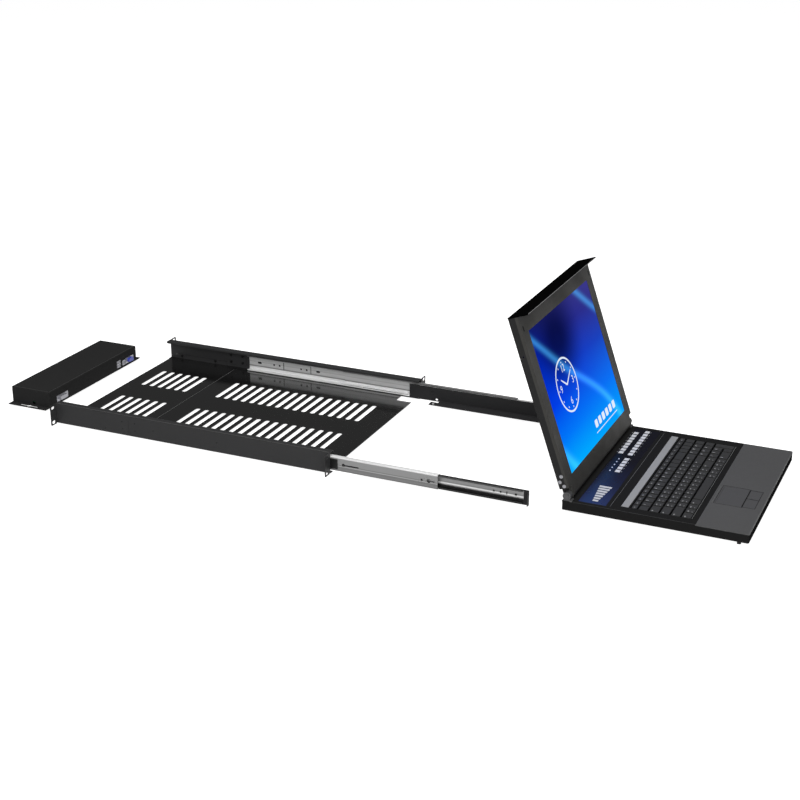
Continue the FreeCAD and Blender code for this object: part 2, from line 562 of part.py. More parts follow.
CARRIER_HOLES = [(f"-({y})", SLIDE_Z) for y in ("carrier_hole_front", "carrier_hole_rear")]
inner = channel(INNER_HALF, "inner_flange_start", "slide_thickness", "rail", INNER_Y)
SLIT_Y = "(inner_slit_inset - inner_reach)"
inner_cuts = [
    web_hole("inner_hole_radius", "inner_hole_inset - inner_reach"),
    web_hole("small_hole_radius", "inner_rear_inset - inner_reach"),
    block(in_from_rail("0", "slide_thickness + 1"),
          (f"{SLIT_Y} - inner_slit_width / 2", f"{SLIT_Y} + inner_slit_width / 2"),
          (f"{SLIDE_Z} - inner_slit_height / 2", f"{SLIDE_Z} + inner_slit_height / 2")),
] + [web_hole("carrier_screw_radius + rivet_fit", y, z) for y, z in CARRIER_HOLES]
hand_pair("slide_inner", cut(inner, *races(INNER_RACE, INNER_Y), *inner_cuts))


def ball_cage(offset, web_start, start):
    """A folded strip that spaces two rows of balls, with the balls in it."""
    y = (f"{start} + cage_nose", f"{start} + cage_length")
    reach = f"({offset} + cage_sheet / 2)"
    flange = (web_start, "race_u + cage_flange / 2")
    parts = [block(in_from_rail(web_start, f"{web_start} + cage_web"), y,
                   (f"{SLIDE_Z} - {reach}", f"{SLIDE_Z} + {reach}")),
             block(in_from_rail(web_start, f"{web_start} + cage_web"), (start, y[0]),
                   (f"{SLIDE_Z} - nose_height / 2", f"{SLIDE_Z} + nose_height / 2"))]
    seats = []
    balls = []
    for sign in "+-":
        level = f"{SLIDE_Z} {sign} {offset}"
        parts.append(block(in_from_rail(*flange), y,
                           (f"{level} - cage_sheet / 2", f"{level} + cage_sheet / 2")))
        for place in range(int(sheet.ball_count)):
            centre = (f"{WALL} - race_u", f"{start} + ball_inset + {place} * ball_pitch")
            seats.append(rod("z", "ball_radius + cage_hole_fit",
                             (f"{level} - cage_sheet", f"{level} + cage_sheet"), centre))
            ball = doc.addObject("Part::Sphere", "Ball")
            balls.append(bind(ball, Radius="ball_radius", Placement__Base__x=centre[0],
                              Placement__Base__y=centre[1], Placement__Base__z=level))
    return group(cut(fused(*parts), *seats), *balls)


hand_pair("outer_ball_cage", ball_cage(OUTER_RACE, "slide_sheet + cage_gap", "outer_cage_start"))
hand_pair("inner_ball_cage", ball_cage(INNER_RACE, "middle_setback + slide_sheet + cage_gap",
                                       "inner_cage_start"))

# Carriers: L-shaped brackets on the inner members, with a ledge under the console


carrier_out = sheet.chassis_width / 2 - sheet.rail_sheet - sheet.slide_thickness
ledge_low = sheet.rail_sheet + sheet.tray_sheet + sheet.carrier_clear
carrier_path = [(sheet.ledge_edge, ledge_low), (carrier_out, ledge_low),
                (carrier_out, sheet.carrier_top)]
carrier_fold = folded("CarrierFold", carrier_path, sheet.carrier_sheet, -sheet.carrier_reach,
                      sheet.carrier_tail)
CARRIER_IN = f"({CARRIER_OUT} - carrier_sheet)"
end_plate = block((CARRIER_IN, f"{CARRIER_OUT} + end_flange"),
                  ("-carrier_reach", "carrier_sheet - carrier_reach"),
                  (f"{LEDGE_LOW} + bend", "carrier_top"))
ledge_end = block(("ledge_edge - 1", f"{CARRIER_OUT} - bend"), ("-ledge_rear", "carrier_tail + 1"),
                  (f"{LEDGE_LOW} - 1", f"{LEDGE_LOW} + bend"))
ledge_front_cut = block(("ledge_edge - 1", f"{CARRIER_OUT} - bend"),
                        ("-carrier_reach - 1", "ledge_front - carrier_reach"),
                        (f"{LEDGE_LOW} - 1", f"{LEDGE_LOW} + bend"))
tab_relief = block(("ledge_edge + ledge_tab", f"{CARRIER_OUT} - bend"),
                   ("-ledge_rear - ledge_tab", "-ledge_rear + 1"),
                   (f"{LEDGE_LOW} - 1", f"{LEDGE_LOW} + bend"))
tab_hole = rod("z", "ledge_tab_hole", (f"{LEDGE_LOW} - 1", f"{LEDGE_LOW} + bend"),
               ("ledge_edge + ledge_tab / 2", "-ledge_rear - ledge_tab / 2"))
web_notch = block((f"{CARRIER_IN} - 1", f"{CARRIER_OUT} + 1"),
                  ("-carrier_notch_y", "carrier_notch - carrier_notch_y"),
                  (f"{LEDGE_LOW} + bend", f"{LEDGE_LOW} + bend + carrier_notch"))
screw_bores = [rod("x", "carrier_screw_radius + rivet_fit", (f"{CARRIER_IN} - 1", f"{CARRIER_OUT} + 1"),
                   hole) for hole in CARRIER_HOLES]
hand_pair("carrier", cut(fused(carrier_fold, end_plate), ledge_end, ledge_front_cut, tab_relief,
                         tab_hole, web_notch,
                         *screw_bores))
SHANK_X = (CARRIER_IN, f"{CARRIER_OUT} + slide_sheet")
SCREW_HEAD_X = (f"{CARRIER_IN} - carrier_screw_thick", CARRIER_IN)
carrier_screws = [fused(rod("x", "carrier_screw_radius", SHANK_X, hole),
                        rod("x", "carrier_screw_head", SCREW_HEAD_X, hole))
                  for hole in CARRIER_HOLES]
hand_pair("carrier_screws", group(*carrier_screws))

# Console base: Y is given as a distance ahead of the rack ears


def ahead(rear, front):
    """The Y span between two distances ahead of the ears."""
    return f"-({front})", f"-({rear})"


PAN_FLOOR = f"({BASE_LOW} + pan_wall)"
pan_outer = softened(block((f"-{BASE_HALF}", BASE_HALF), ("-console_front", BASE_REAR),
                           (BASE_LOW, DECK_LOW)), UPRIGHT_EDGES, "corner")
pan_inner = block((f"pan_wall - {BASE_HALF}", f"{BASE_HALF} - pan_wall"),
                  ("pan_wall - console_front", f"{BASE_REAR} - pan_wall"),
                  (PAN_FLOOR, f"{DECK_LOW} + 1"))
BOARD_FRONT = "(board_rear + board_width)"
bosses = [rod("z", "boss_radius", (PAN_FLOOR, f"{PAN_FLOOR} + boss_height"),
              (f"{sign}(board_length / 2 - boss_inset)", y))
          for sign in ("", "-") for y in ("-board_rear - boss_inset", f"boss_inset - {BOARD_FRONT}")]
node("base_pan", fused(cut(pan_outer, pan_inner), *bosses))
BOARD_LOW = f"({PAN_FLOOR} + boss_height)"
node("console_board", group(block(("-board_length / 2", "board_length / 2"),
                                  ahead("board_rear", BOARD_FRONT),
                                  (BOARD_LOW, f"{BOARD_LOW} + board_thick"))))

NECK_X = (f"{BASE_HALF} - knuckle_width", f"{BASE_HALF} - pan_wall - fit")
NECK_Y = (f"{HINGE_Y} - knuckle_neck / 2", f"{HINGE_Y} + knuckle_neck / 2")
deck = block((f"-{BASE_HALF}", BASE_HALF), ("-trough_front", BASE_REAR), (DECK_LOW, DECK_TOP))
neck_holes = both(block((f"{NECK_X[0]} - fit", f"{NECK_X[1]} + fit"),
                        (f"{NECK_Y[0]} - fit", f"{NECK_Y[1]} + fit"),
                        (f"{DECK_LOW} - 1", f"{DECK_TOP} + 1")))
THROUGH_DECK = (f"{DECK_LOW} - 1", f"{DECK_TOP} + 1")
deck_cuts = [
    block((f"-{CONTROL_HALF}", CONTROL_HALF), ahead("control_rear", "control_front"), THROUGH_DECK),
    block((f"-{KEYS_HALF}", KEYS_HALF), ahead("keys_rear", "keys_front"), THROUGH_DECK),
    block((f"-{KEYS_HALF}", KEYS_HALF), ahead("strip_rear", "strip_front"),
          (f"{DECK_TOP} - strip_thick", f"{DECK_TOP} + 1")),
    block((f"-{KEYS_HALF}", KEYS_HALF), ahead("trough_rear", "trough_front + 1"),
          (f"{DECK_TOP} - trough_depth", f"{DECK_TOP} + 1")),
    block((f"-{CONTROL_HALF}", CONTROL_HALF), ahead("deck_line_y", "deck_line_y + line_width"),
          (f"{DECK_TOP} - line_depth", f"{DECK_TOP} + 1")),
    neck_holes,
]
node("top_deck", cut(deck, *deck_cuts))
node("accent_strip", group(block((f"fit - {KEYS_HALF}", f"{KEYS_HALF} - fit"),
                                 ahead("strip_rear + fit", "strip_front - fit"),
                                 (f"{DECK_TOP} - strip_thick", DECK_TOP))))

TOUCH_X = ("touch_left", "touch_right")
palm = softened(block((f"-{BASE_HALF}", BASE_HALF), ("-console_front", "-trough_front - panel_gap"),
                      (DECK_LOW, DECK_TOP)), FRONT_UPRIGHTS, "corner")
palm_cuts = [
    block(TOUCH_X, ahead("touch_rear", "touch_button_front"), THROUGH_DECK),
    block(TOUCH_X, ahead("touch_line_rear", "touch_line_rear + line_width"),
          (f"{DECK_TOP} - line_depth", f"{DECK_TOP} + 1")),
    block(TOUCH_X, ahead("touch_line_front", "touch_line_front + line_width"),
          (f"{DECK_TOP} - line_depth", f"{DECK_TOP} + 1")),
]
node("palm_rest", cut(palm, *palm_cuts))
shelf = block(("touch_left - touch_shelf", "touch_right + touch_shelf"),
              ahead("touch_rear - touch_shelf", "touch_front"),
              (f"{DECK_LOW} - touch_shelf_thick", DECK_LOW))
TOUCH_PLATE_X = ("touch_left + touch_gap", "touch_right - touch_gap")
touch_plate = block(TOUCH_PLATE_X, ahead("touch_rear + touch_gap", "touch_front - touch_gap"),
                    (DECK_LOW, f"{DECK_TOP} - touch_low"))
node("touchpad", fused(shelf, touch_plate))
TOUCH_MIDDLE = "((touch_left + touch_right) / 2)"
BUTTON_SPANS = {"left": (TOUCH_PLATE_X[0], f"{TOUCH_MIDDLE} - touch_split / 2"),
                "right": (f"{TOUCH_MIDDLE} + touch_split / 2", TOUCH_PLATE_X[1])}
for side, span in BUTTON_SPANS.items():
    node(f"{side}_touch_button", group(block(span,
                                             ahead("touch_front", "touch_button_front - touch_gap"),
                                             (f"{DECK_TOP} - touch_low - touch_button_thick",
                                              f"{DECK_TOP} - touch_low"))))

node("stop_pins", both(rod("z", "pin_radius", (f"{BASE_LOW} - pin_length", BASE_LOW),
                           ("pin_x", "-pin_y"))))

# Control panel, its buttons and its lamps


def row_of(first, pitch, count, y, length, width, z):
    """A row of equal blocks along X, centred on one Y."""
    blocks = []
    for place in range(int(count)):
        x = f"{first} + {place} * {pitch}"
        blocks.append(block((f"{x} - ({length}) / 2", f"{x} + ({length}) / 2"),
                            (f"-{y} - ({width}) / 2", f"-{y} + ({width}) / 2"), z))
    return blocks


BUTTON_ROWS = {
    "rear_port_buttons": (f"{CONTROL_HALF} - rear_row_inset - (rear_row_count - 1) * button_pitch",
                          "button_pitch", sheet.rear_row_count, "rear_row_y"),
    "front_port_buttons": (f"{CONTROL_HALF} - front_row_inset - (front_row_count - 1) * button_pitch",
                           "button_pitch", sheet.front_row_count, "front_row_y"),
    "menu_buttons": ("-(menu_count - 1) * button_pitch / 2", "button_pitch", sheet.menu_count,
                     "front_row_y"),
}
LAMP_ROW = ("lamp_shift - (lamp_count - 1) * lamp_pitch / 2", "lamp_pitch", sheet.lamp_count, "lamp_y")
BUTTON_Z = (f"{DECK_TOP} - button_low - button_height", f"{DECK_TOP} - button_low")
PANEL_Z = (f"{DECK_LOW} - touch_shelf_thick", f"{DECK_TOP} - control_low")
panel_flange = block((f"-{CONTROL_HALF} - control_flange", f"{CONTROL_HALF} + control_flange"),
                     ahead("control_rear - control_flange", "control_front + control_flange"),
                     (f"{DECK_LOW} - touch_shelf_thick", DECK_LOW))
panel_face = block((f"fit - {CONTROL_HALF}", f"{CONTROL_HALF} - fit"),
                   ahead("control_rear + fit", "control_front - fit"),
                   (DECK_LOW, f"{DECK_TOP} - control_low"))
PANEL_HOLE_Z = (f"{DECK_LOW} - touch_shelf_thick - 1", f"{DECK_TOP} + 1")
panel_holes = row_of(*LAMP_ROW, "lamp_length + fit", "lamp_width + fit", PANEL_HOLE_Z)
for name, button_row in BUTTON_ROWS.items():
    panel_holes += row_of(*button_row, "button_length + 2 * fit", "button_width + 2 * fit", PANEL_HOLE_Z)
    node(name, group(*row_of(*button_row, "button_length", "button_width", BUTTON_Z)))
node("control_panel", cut(fused(panel_flange, panel_face), *panel_holes))
node("port_lamps", group(*row_of(*LAMP_ROW, "lamp_length", "lamp_width", PANEL_Z)))

# Keyboard

TRAY_LOW = f"({DECK_LOW} - key_tray_depth)"
key_tray = block((f"-{KEYS_HALF} - key_tray_wall", f"{KEYS_HALF} + key_tray_wall"),
                 ahead("keys_rear - key_tray_wall", "keys_front + key_tray_wall"), (TRAY_LOW, DECK_LOW))
key_well = block((f"-{KEYS_HALF}", KEYS_HALF), ahead("keys_rear", "keys_front"),
                 (f"{TRAY_LOW} + key_tray_floor", f"{DECK_LOW} + 1"))
node("keyboard_tray", cut(key_tray, key_well))
KEY_BASE = f"({DECK_TOP} - key_low - key_height)"


def keycap(x, rear, width, depth):
    """A key that narrows towards its top, from its left and rear edges."""
    cap = doc.addObject("Part::Wedge", "Keycap")
    cap.Placement = FreeCAD.Placement(FreeCAD.Vector(),
                                      FreeCAD.Rotation(FreeCAD.Vector(1, 0, 0), 90))
    for low in ("Xmin", "Ymin", "Zmin"):
        setattr(cap, low, 0)
    wide = f"({width}) - key_gap"
    deep = f"({depth}) - key_gap"
    bind(cap, Xmax=wide, Ymax="key_height", Zmax=deep, X2min="key_taper", Z2min="key_taper",
         X2max=f"{wide} - key_taper", Z2max=f"{deep} - key_taper")
    return bind(cap, Placement__Base__x=f"{x} + key_gap / 2",
                Placement__Base__y=f"-({rear}) - key_gap / 2", Placement__Base__z=KEY_BASE)


def key_row(widths, left, pitch, rear, depth):
    """Keys side by side, each as many pitches wide as its entry says; a negative one is a gap."""
    keys = []
    start = 0
    for width in widths:
        if width > 0:
            keys.append(keycap(f"{left} + {start} * {pitch}", rear, f"{width} * {pitch}", depth))
        start += abs(width)
    return keys


def row_rear(number):
    """How far ahead of the ears a main row starts, counted from the number row."""
    return f"keys_rear + function_row + {number} * key_row"


LEFT = f"(-{KEYS_HALF})"
PAD_LEFT = f"({KEYS_HALF} - pad_columns * pad_pitch)"
MAIN_ROWS = {
    "number_keys": [1] * 13 + [2],
    "upper_letter_keys": [1.5] + [1] * 12 + [1.5],
    "home_row_keys": [1.75] + [1] * 11 + [2.25],
    "lower_letter_keys": [2.25] + [1] * 10 + [1.75, 1],
    "bottom_row_keys": [1.25, 1, 1, 1.25, -5.5, 1, 1, 1, 1, 1],
}
FUNCTION_KEYS = 19
node("function_keys", group(*key_row([1] * FUNCTION_KEYS, LEFT, f"(2 * {KEYS_HALF} / {FUNCTION_KEYS})",
                                     "keys_rear", "function_row")))
for number, (name, widths) in enumerate(MAIN_ROWS.items()):
    node(name, group(*key_row(widths, LEFT, "key_pitch", row_rear(number), "key_row")))
node("space_bar", group(keycap(f"{LEFT} + 4.5 * key_pitch", row_rear(4), "5.5 * key_pitch", "key_row")))
pad_keys = []
for number in range(3):
    widths = [1, 1, 1, 1] if number != 2 else [1, 1, 1]
    pad_keys += key_row(widths, PAD_LEFT, "pad_pitch", row_rear(number), "key_row")
pad_keys += key_row([1, 1, 1], PAD_LEFT, "pad_pitch", row_rear(3), "key_row")
pad_keys += key_row([2, 1], PAD_LEFT, "pad_pitch", row_rear(4), "key_row")
pad_keys.append(keycap(f"{PAD_LEFT} + 3 * pad_pitch", row_rear(2), "pad_pitch", "key_row"))
pad_keys.append(keycap(f"{PAD_LEFT} + 3 * pad_pitch", row_rear(3), "pad_pitch", "2 * key_row"))
node("number_pad_keys", group(*pad_keys))

# Hinges

KNUCKLE_X = (f"{BASE_HALF} - knuckle_width", BASE_HALF)
knuckle = rod("x", "knuckle_radius", KNUCKLE_X, (HINGE_Y, HINGE_Z))
neck = block(NECK_X, NECK_Y, (PAN_FLOOR, HINGE_Z))
FOOT_RADIUS = "(hinge_foot_thick / 2)"
FOOT_END = f"({NECK_Y[0]} - hinge_foot + {FOOT_RADIUS})"
foot = block(KNUCKLE_X, (FOOT_END, NECK_Y[0]), (DECK_TOP, f"{DECK_TOP} + hinge_foot_thick"))
foot_nose = rod("x", FOOT_RADIUS, KNUCKLE_X, (FOOT_END, f"{DECK_TOP} + {FOOT_RADIUS}"))
hinge_bore = rod("x", "hinge_pin_radius + hinge_fit", (f"{KNUCKLE_X[0]} - 1", f"{BASE_HALF} + 1"),
                 (HINGE_Y, HINGE_Z))
node("hinge_brackets", both(cut(fused(knuckle, neck, foot, foot_nose), hinge_bore)))
PIN_X = (f"{BASE_HALF} + fit - hinge_pin_length", f"{BASE_HALF} + fit")
pin = rod("x", "hinge_pin_radius", PIN_X, (HINGE_Y, HINGE_Z))
pin_head = rod("x", "hinge_head", (PIN_X[1], f"{PIN_X[1]} + hinge_head_thick"), (HINGE_Y, HINGE_Z))
lid_node("hinge_pins", both(fused(pin, pin_head)))

# Lid, drawn shut: a distance along the lid is measured from the hinge towards the front


def along(start, end):
    """The Y span between two distances along the lid."""
    return f"{HINGE_Y} - ({end})", f"{HINGE_Y} - ({start})"


LID_END = "(lid_reach - front_panel_thick)"
LID_X = (f"-{BASE_HALF}", BASE_HALF)
THROUGH_LID = (f"{LID_LOW} - 1", f"{LID_TOP} + 1")


def lid_form(edges, radius):
    """The whole lid's outside, with a round end about the hinge."""
    plate = softened(block(LID_X, along("0", LID_END), (LID_LOW, LID_TOP)), edges, radius)
    return fused(plate, rod("x", "lid_thick / 2", LID_X, (HINGE_Y, HINGE_Z)))


def lid_half(z):
    """A box round the part of the lid between two heights."""
    return block((f"-{BASE_HALF} - 1", f"{BASE_HALF} + 1"), along("-lid_thick", "lid_reach"), z)


def lid_tools():
    """The corner notches round the hinge brackets, as cutting tools."""
    return both(block((f"{BASE_HALF} - knuckle_width - fit", f"{BASE_HALF} + 1"),
                      along("-lid_thick", "lid_notch"), THROUGH_LID))


LID_SCREWS = [(f"{HINGE_Y} - {distance}", f"{HINGE_Z} + {rise}")
              for distance, rise in (("low_screw_along", "low_screw_rise"),
                                     ("mid_screw_along", "mid_screw_rise"),
                                     ("high_screw_along", "high_screw_rise"))]
INSIDE_X = (f"lid_wall - {BASE_HALF}", f"{BASE_HALF} - lid_wall")
INSIDE_Y = along("lid_root", f"{LID_END} - lid_wall")
shell_form = common(lid_form(TOP_SIDES, "lid_corner"), lid_half((LID_SEAM, f"{LID_TOP} + 1")))
shell_cuts = [
    block(INSIDE_X, INSIDE_Y, (f"{LID_SEAM} - 1", f"{LID_TOP} - lid_wall")),
    lid_tools(),
    both(rod("x", "hinge_pin_radius", (PIN_X[0], f"{BASE_HALF} + 1"), (HINGE_Y, HINGE_Z))),
    both(rod("x", "side_hole_radius", (f"{BASE_HALF} - lid_wall - 1", f"{BASE_HALF} + 1"),
             (f"{HINGE_Y} - side_hole_along", f"{HINGE_Z} + side_hole_radius"))),
]
lid_node("lid_shell", cut(shell_form, *shell_cuts))

SCREEN_X = ("-screen_width / 2", "screen_width / 2")
SCREEN_Y = along("screen_bottom", "screen_bottom + screen_height")
bezel_form = common(lid_form(LOW_SIDES, "edge_round"), lid_half((f"{LID_LOW} - 1", LID_SEAM)))
BUMPER_Y = along("bumper_along - bumper_length / 2", "bumper_along + bumper_length / 2")
BUMPER_X = ("bumper_x - bumper_width / 2", "bumper_x + bumper_width / 2")
bezel_cuts = [
    block(SCREEN_X, SCREEN_Y, (f"{LID_LOW} - 1", f"{LID_SEAM} + 1")),
    block(INSIDE_X, INSIDE_Y, (f"{LID_LOW} + bezel_plate", f"{LID_SEAM} + 1")),
    lid_tools(),
    both(block(BUMPER_X, BUMPER_Y, (f"{LID_LOW} - 1", f"{LID_LOW} + bezel_plate + 1"))),
]
lid_node("lid_bezel", cut(bezel_form, *bezel_cuts))
lid_node("bumpers", both(block(BUMPER_X, BUMPER_Y, (LID_LOW, f"{LID_LOW} + bezel_plate"))))

MODULE_Z = (f"{LID_LOW} + bezel_plate", f"{LID_LOW} + bezel_plate + module_thick")
screen_case = block(("-screen_width / 2 - module_rim", "screen_width / 2 + module_rim"),
                    along("screen_bottom - module_rim", "screen_bottom + screen_height + module_rim"),
                    MODULE_Z)
glass = block(("glass_gap - screen_width / 2", "screen_width / 2 - glass_gap"),
              along("screen_bottom + glass_gap", "screen_bottom + screen_height - glass_gap"),
              (f"{LID_LOW} + glass_low", MODULE_Z[0]))
lid_node("lcd_panel", fused(screen_case, glass))
lid_node("driver_board", group(block(("-driver_length / 2", "driver_length / 2"),
                                     along("driver_along - driver_width / 2",
                                           "driver_along + driver_width / 2"),
                                     (MODULE_Z[1], f"{MODULE_Z[1]} + board_thick"))))
lid_node("front_panel", group(block(LID_X, along(LID_END, "lid_reach"),
                                    (f"{LID_TOP} - front_panel_depth", LID_TOP))))


def slotted_screw(hole):
    """A pan-head screw on the lid's side, with a driver slot across it."""
    head = rod("x", "lid_screw_radius", (BASE_HALF, f"{BASE_HALF} + lid_screw_thick"), hole)
    y, z = hole
    driver_slot = block((f"{BASE_HALF} + lid_screw_thick / 2", f"{BASE_HALF} + lid_screw_thick + 1"),
                        (f"{y} - lid_screw_radius - 1", f"{y} + lid_screw_radius + 1"),
                        (f"{z} - lid_screw_slot / 2", f"{z} + lid_screw_slot / 2"))
    return cut(head, driver_slot)


lid_node("hinge_screws", both(group(*[slotted_screw(hole) for hole in LID_SCREWS])))

# The module that plugs in behind, taken off and standing on its own

MODULE_Y = ("module_front", "module_front + module_depth")
FLOOR_TOP = f"({MODULE_LOW} + module_sheet)"
MODULE_TOP = f"({MODULE_LOW} + module_height)"
base_plate = block(("-module_half - module_ear", "module_half + module_ear"), MODULE_Y,
                   (MODULE_LOW, FLOOR_TOP))
MODULE_MIDDLE = "module_front + module_depth / 2"
THROUGH_PLATE = (f"{MODULE_LOW} - 1", f"{FLOOR_TOP} + 1")
SLOT_CENTRE = ("module_slot_x", MODULE_MIDDLE, "0")
ear_slots = both(fused(slot("z", "module_slot", "module_slot_width", SLOT_CENTRE, THROUGH_PLATE),
                       rod("z", "module_slot_hole", THROUGH_PLATE, ("module_slot_x", MODULE_MIDDLE))))
INNER_HALF_X = "module_half - module_board_inset"
standoffs = [rod("z", "boss_radius", (FLOOR_TOP, f"{FLOOR_TOP} + module_boss"),
                 (f"{sign}({INNER_HALF_X} - boss_inset)", y))
             for sign in ("", "-")
             for y in ("module_front + module_board_inset + boss_inset",
                       "module_front + module_depth - module_board_inset - boss_inset")]
node("module_base_plate", fused(cut(base_plate, ear_slots), *standoffs))
BOARD_TOP = f"({FLOOR_TOP} + module_boss + board_thick)"
node("module_board", group(block((f"-({INNER_HALF_X})", INNER_HALF_X),
                                 ("module_front + module_sheet + port_fit",
                                  "module_front + module_depth - module_board_inset"),
                                 (f"{FLOOR_TOP} + module_boss", BOARD_TOP))))

DSUB_Z = f"({BOARD_TOP} + dsub_flange_height / 2)"
WINDOW_Y = ("module_front - 1", "module_front + module_sheet + 1")
cover_outer = softened(block(("-module_half", "module_half"), MODULE_Y, (FLOOR_TOP, MODULE_TOP)),
                       TOP_SIDES + TOP_ENDS, "edge_round")
cover_inner = block(("module_sheet - module_half", "module_half - module_sheet"),
                    ("module_front + module_sheet", "module_front + module_depth - module_sheet"),
                    (f"{FLOOR_TOP} - 1", f"{MODULE_TOP} - module_sheet"))


def window(x, width, low, high):
    """An opening in the module's front for a socket, with a clearance all round."""
    return block((f"{x} - ({width}) / 2 - port_fit", f"{x} + ({width}) / 2 + port_fit"), WINDOW_Y,
                 (f"{low} - port_fit", f"{high} + port_fit"))


SHELL_Z = (f"{DSUB_Z} - dsub_shell_height / 2", f"{DSUB_Z} + dsub_shell_height / 2")
cover_cuts = [
    window("dsub_x", "dsub_shell_width", *SHELL_Z),
    window("vga_x", "vga_shell_width", *SHELL_Z),
    window("usb_x", "usb_width", BOARD_TOP, f"{BOARD_TOP} + usb_height"),
    window("din_x", "din_width", BOARD_TOP, f"{BOARD_TOP} + din_height"),
    block(("-module_half - 1", "module_sheet + 1 - module_half"),
          ("side_port_y - side_port / 2", "side_port_y + side_port / 2"),
          (FLOOR_TOP, f"{FLOOR_TOP} + side_port")),
]
node("module_cover", cut(cover_outer, cover_inner, *cover_cuts))


def d_shell(x, width):
    """The proud shell of a D-shaped socket and its body over the board."""
    return softened(block((f"{x} - {width} / 2", f"{x} + {width} / 2"),
                          ("module_front - dsub_shell_length", "module_front + dsub_body_depth"),
                          SHELL_Z), TOP_SIDES + LOW_SIDES, "bend")


def d_flange(x, width):
    return block((f"{x} - {width} / 2", f"{x} + {width} / 2"),
                 ("module_front - dsub_flange_thick", "module_front"),
                 (BOARD_TOP, f"{BOARD_TOP} + dsub_flange_height"))


def usb_stack():
    """Two flat sockets one above the other, each with its tongue."""
    case = block(("usb_x - usb_width / 2", "usb_x + usb_width / 2"),
                 ("module_front - usb_proud", "module_front + usb_depth"),
                 (BOARD_TOP, f"{BOARD_TOP} + usb_height"))
    mouths = []
    for place in (1, 3):
        level = f"({BOARD_TOP} + usb_height * {place} / 4)"
        x = ("usb_x - usb_mouth_width / 2", "usb_x + usb_mouth_width / 2")
        y = ("module_front - usb_proud - 1", "module_front - usb_proud + usb_mouth_depth")
        mouth = block(x, y, (f"{level} - usb_mouth_height / 2", f"{level} + usb_mouth_height / 2"))
        tongue = block(("usb_x - usb_mouth_width / 2 + 1", "usb_x + usb_mouth_width / 2 - 1"),
                       ("module_front - usb_proud + fit", "module_front + usb_depth"),
                       (f"{level} - usb_tongue / 2", f"{level} + usb_tongue / 2"))
        mouths.append(cut(mouth, tongue))
    return cut(case, *mouths)


din_case = block(("din_x - din_width / 2", "din_x + din_width / 2"),
                 ("module_front - usb_proud", "module_front + dsub_body_depth"),
                 (BOARD_TOP, f"{BOARD_TOP} + din_height"))
din_mouth = rod("y", "din_radius", ("module_front - usb_proud - 1", "module_front + usb_proud"),
                ("din_x", f"{BOARD_TOP} + din_height / 2"))
vga_flange = cut(d_flange("vga_x", "vga_flange_width"), d_shell("vga_x", "vga_shell_width"))
data_socket = fused(d_flange("dsub_x", "dsub_flange_width"), d_shell("dsub_x", "dsub_shell_width"))
node("module_sockets", group(data_socket, vga_flange, usb_stack(), cut(din_case, din_mouth)))
node("vga_socket", group(d_shell("vga_x", "vga_shell_width")))

# Check the whole document and write the sub-parts

doc.recompute()
failed = [item.Label for item in doc.Objects if {"Invalid", "Error"} & set(item.State)]
bad_shapes = [item.Label for item in nodes if item.Shape.isNull() or not item.Shape.isValid()]
if failed or bad_shapes:
    raise RuntimeError(f"failed: {failed}; not valid: {bad_shapes}")
os.makedirs("parts", exist_ok=True)
for item in nodes:
    item.Shape.exportStep(f"parts/{item.Label}.step")
    print(f"{item.Label}: {len(item.Shape.Solids)} solids, {item.Shape.Volume:.0f} mm3")
print(len(nodes), "sub-parts")
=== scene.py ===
"""Looks, light and camera for the rackmount console drawer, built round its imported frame.

Everything is in metres, in the frame's own directions: X across, Y to the rear and Z up.
"""

import json
import math

import bmesh
import bpy
from mathutils import Euler, Matrix, Vector


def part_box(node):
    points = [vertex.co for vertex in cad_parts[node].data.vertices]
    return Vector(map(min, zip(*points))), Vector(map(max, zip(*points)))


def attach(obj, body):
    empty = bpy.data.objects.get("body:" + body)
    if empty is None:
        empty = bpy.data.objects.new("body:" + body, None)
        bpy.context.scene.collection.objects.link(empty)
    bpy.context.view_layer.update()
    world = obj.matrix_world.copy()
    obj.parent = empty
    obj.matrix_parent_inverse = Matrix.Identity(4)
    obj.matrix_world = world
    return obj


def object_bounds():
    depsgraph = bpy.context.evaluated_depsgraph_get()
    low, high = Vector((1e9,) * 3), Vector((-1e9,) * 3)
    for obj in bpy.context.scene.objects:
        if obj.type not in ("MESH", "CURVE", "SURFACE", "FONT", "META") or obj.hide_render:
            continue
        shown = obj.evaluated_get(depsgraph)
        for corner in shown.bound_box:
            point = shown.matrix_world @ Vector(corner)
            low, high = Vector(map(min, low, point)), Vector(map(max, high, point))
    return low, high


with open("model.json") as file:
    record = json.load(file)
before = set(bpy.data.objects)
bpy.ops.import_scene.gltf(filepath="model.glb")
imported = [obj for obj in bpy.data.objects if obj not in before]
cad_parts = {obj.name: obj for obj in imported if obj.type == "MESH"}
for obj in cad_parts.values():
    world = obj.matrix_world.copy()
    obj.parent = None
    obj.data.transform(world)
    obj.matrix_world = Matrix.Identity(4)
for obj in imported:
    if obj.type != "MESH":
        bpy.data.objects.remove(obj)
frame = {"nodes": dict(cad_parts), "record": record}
CAD_BOX = [list(corner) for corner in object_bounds()]
NODES = frame["nodes"]

# Shaders

NOISE_MIDDLE = (0.35, 0.65)  # the stretch that holds most values of a noise
UNEVEN = 0.15  # the share by which a finish's gloss varies
WAVE_SCALE = (14.0, 14.0, 14.0)
BRUSHED_SCALE = (300.0, 2.0, 300.0)
GRAIN_SIZE = 0.0006
GRAIN_DEPTH = 0.25  # a grain's height, as a share of its size
COAT_ROUGH = 0.08


def settings(node, values):
    """Sets a shader node's inputs by their names."""
    for socket, value in values.items():
        node.inputs[socket].default_value = value


def shader_tree(name):
    """A new material with its node tree and its shader node."""
    material = bpy.data.materials.new(name)
    material.use_nodes = True
    tree = material.node_tree
    return material, tree, tree.nodes["Principled BSDF"]


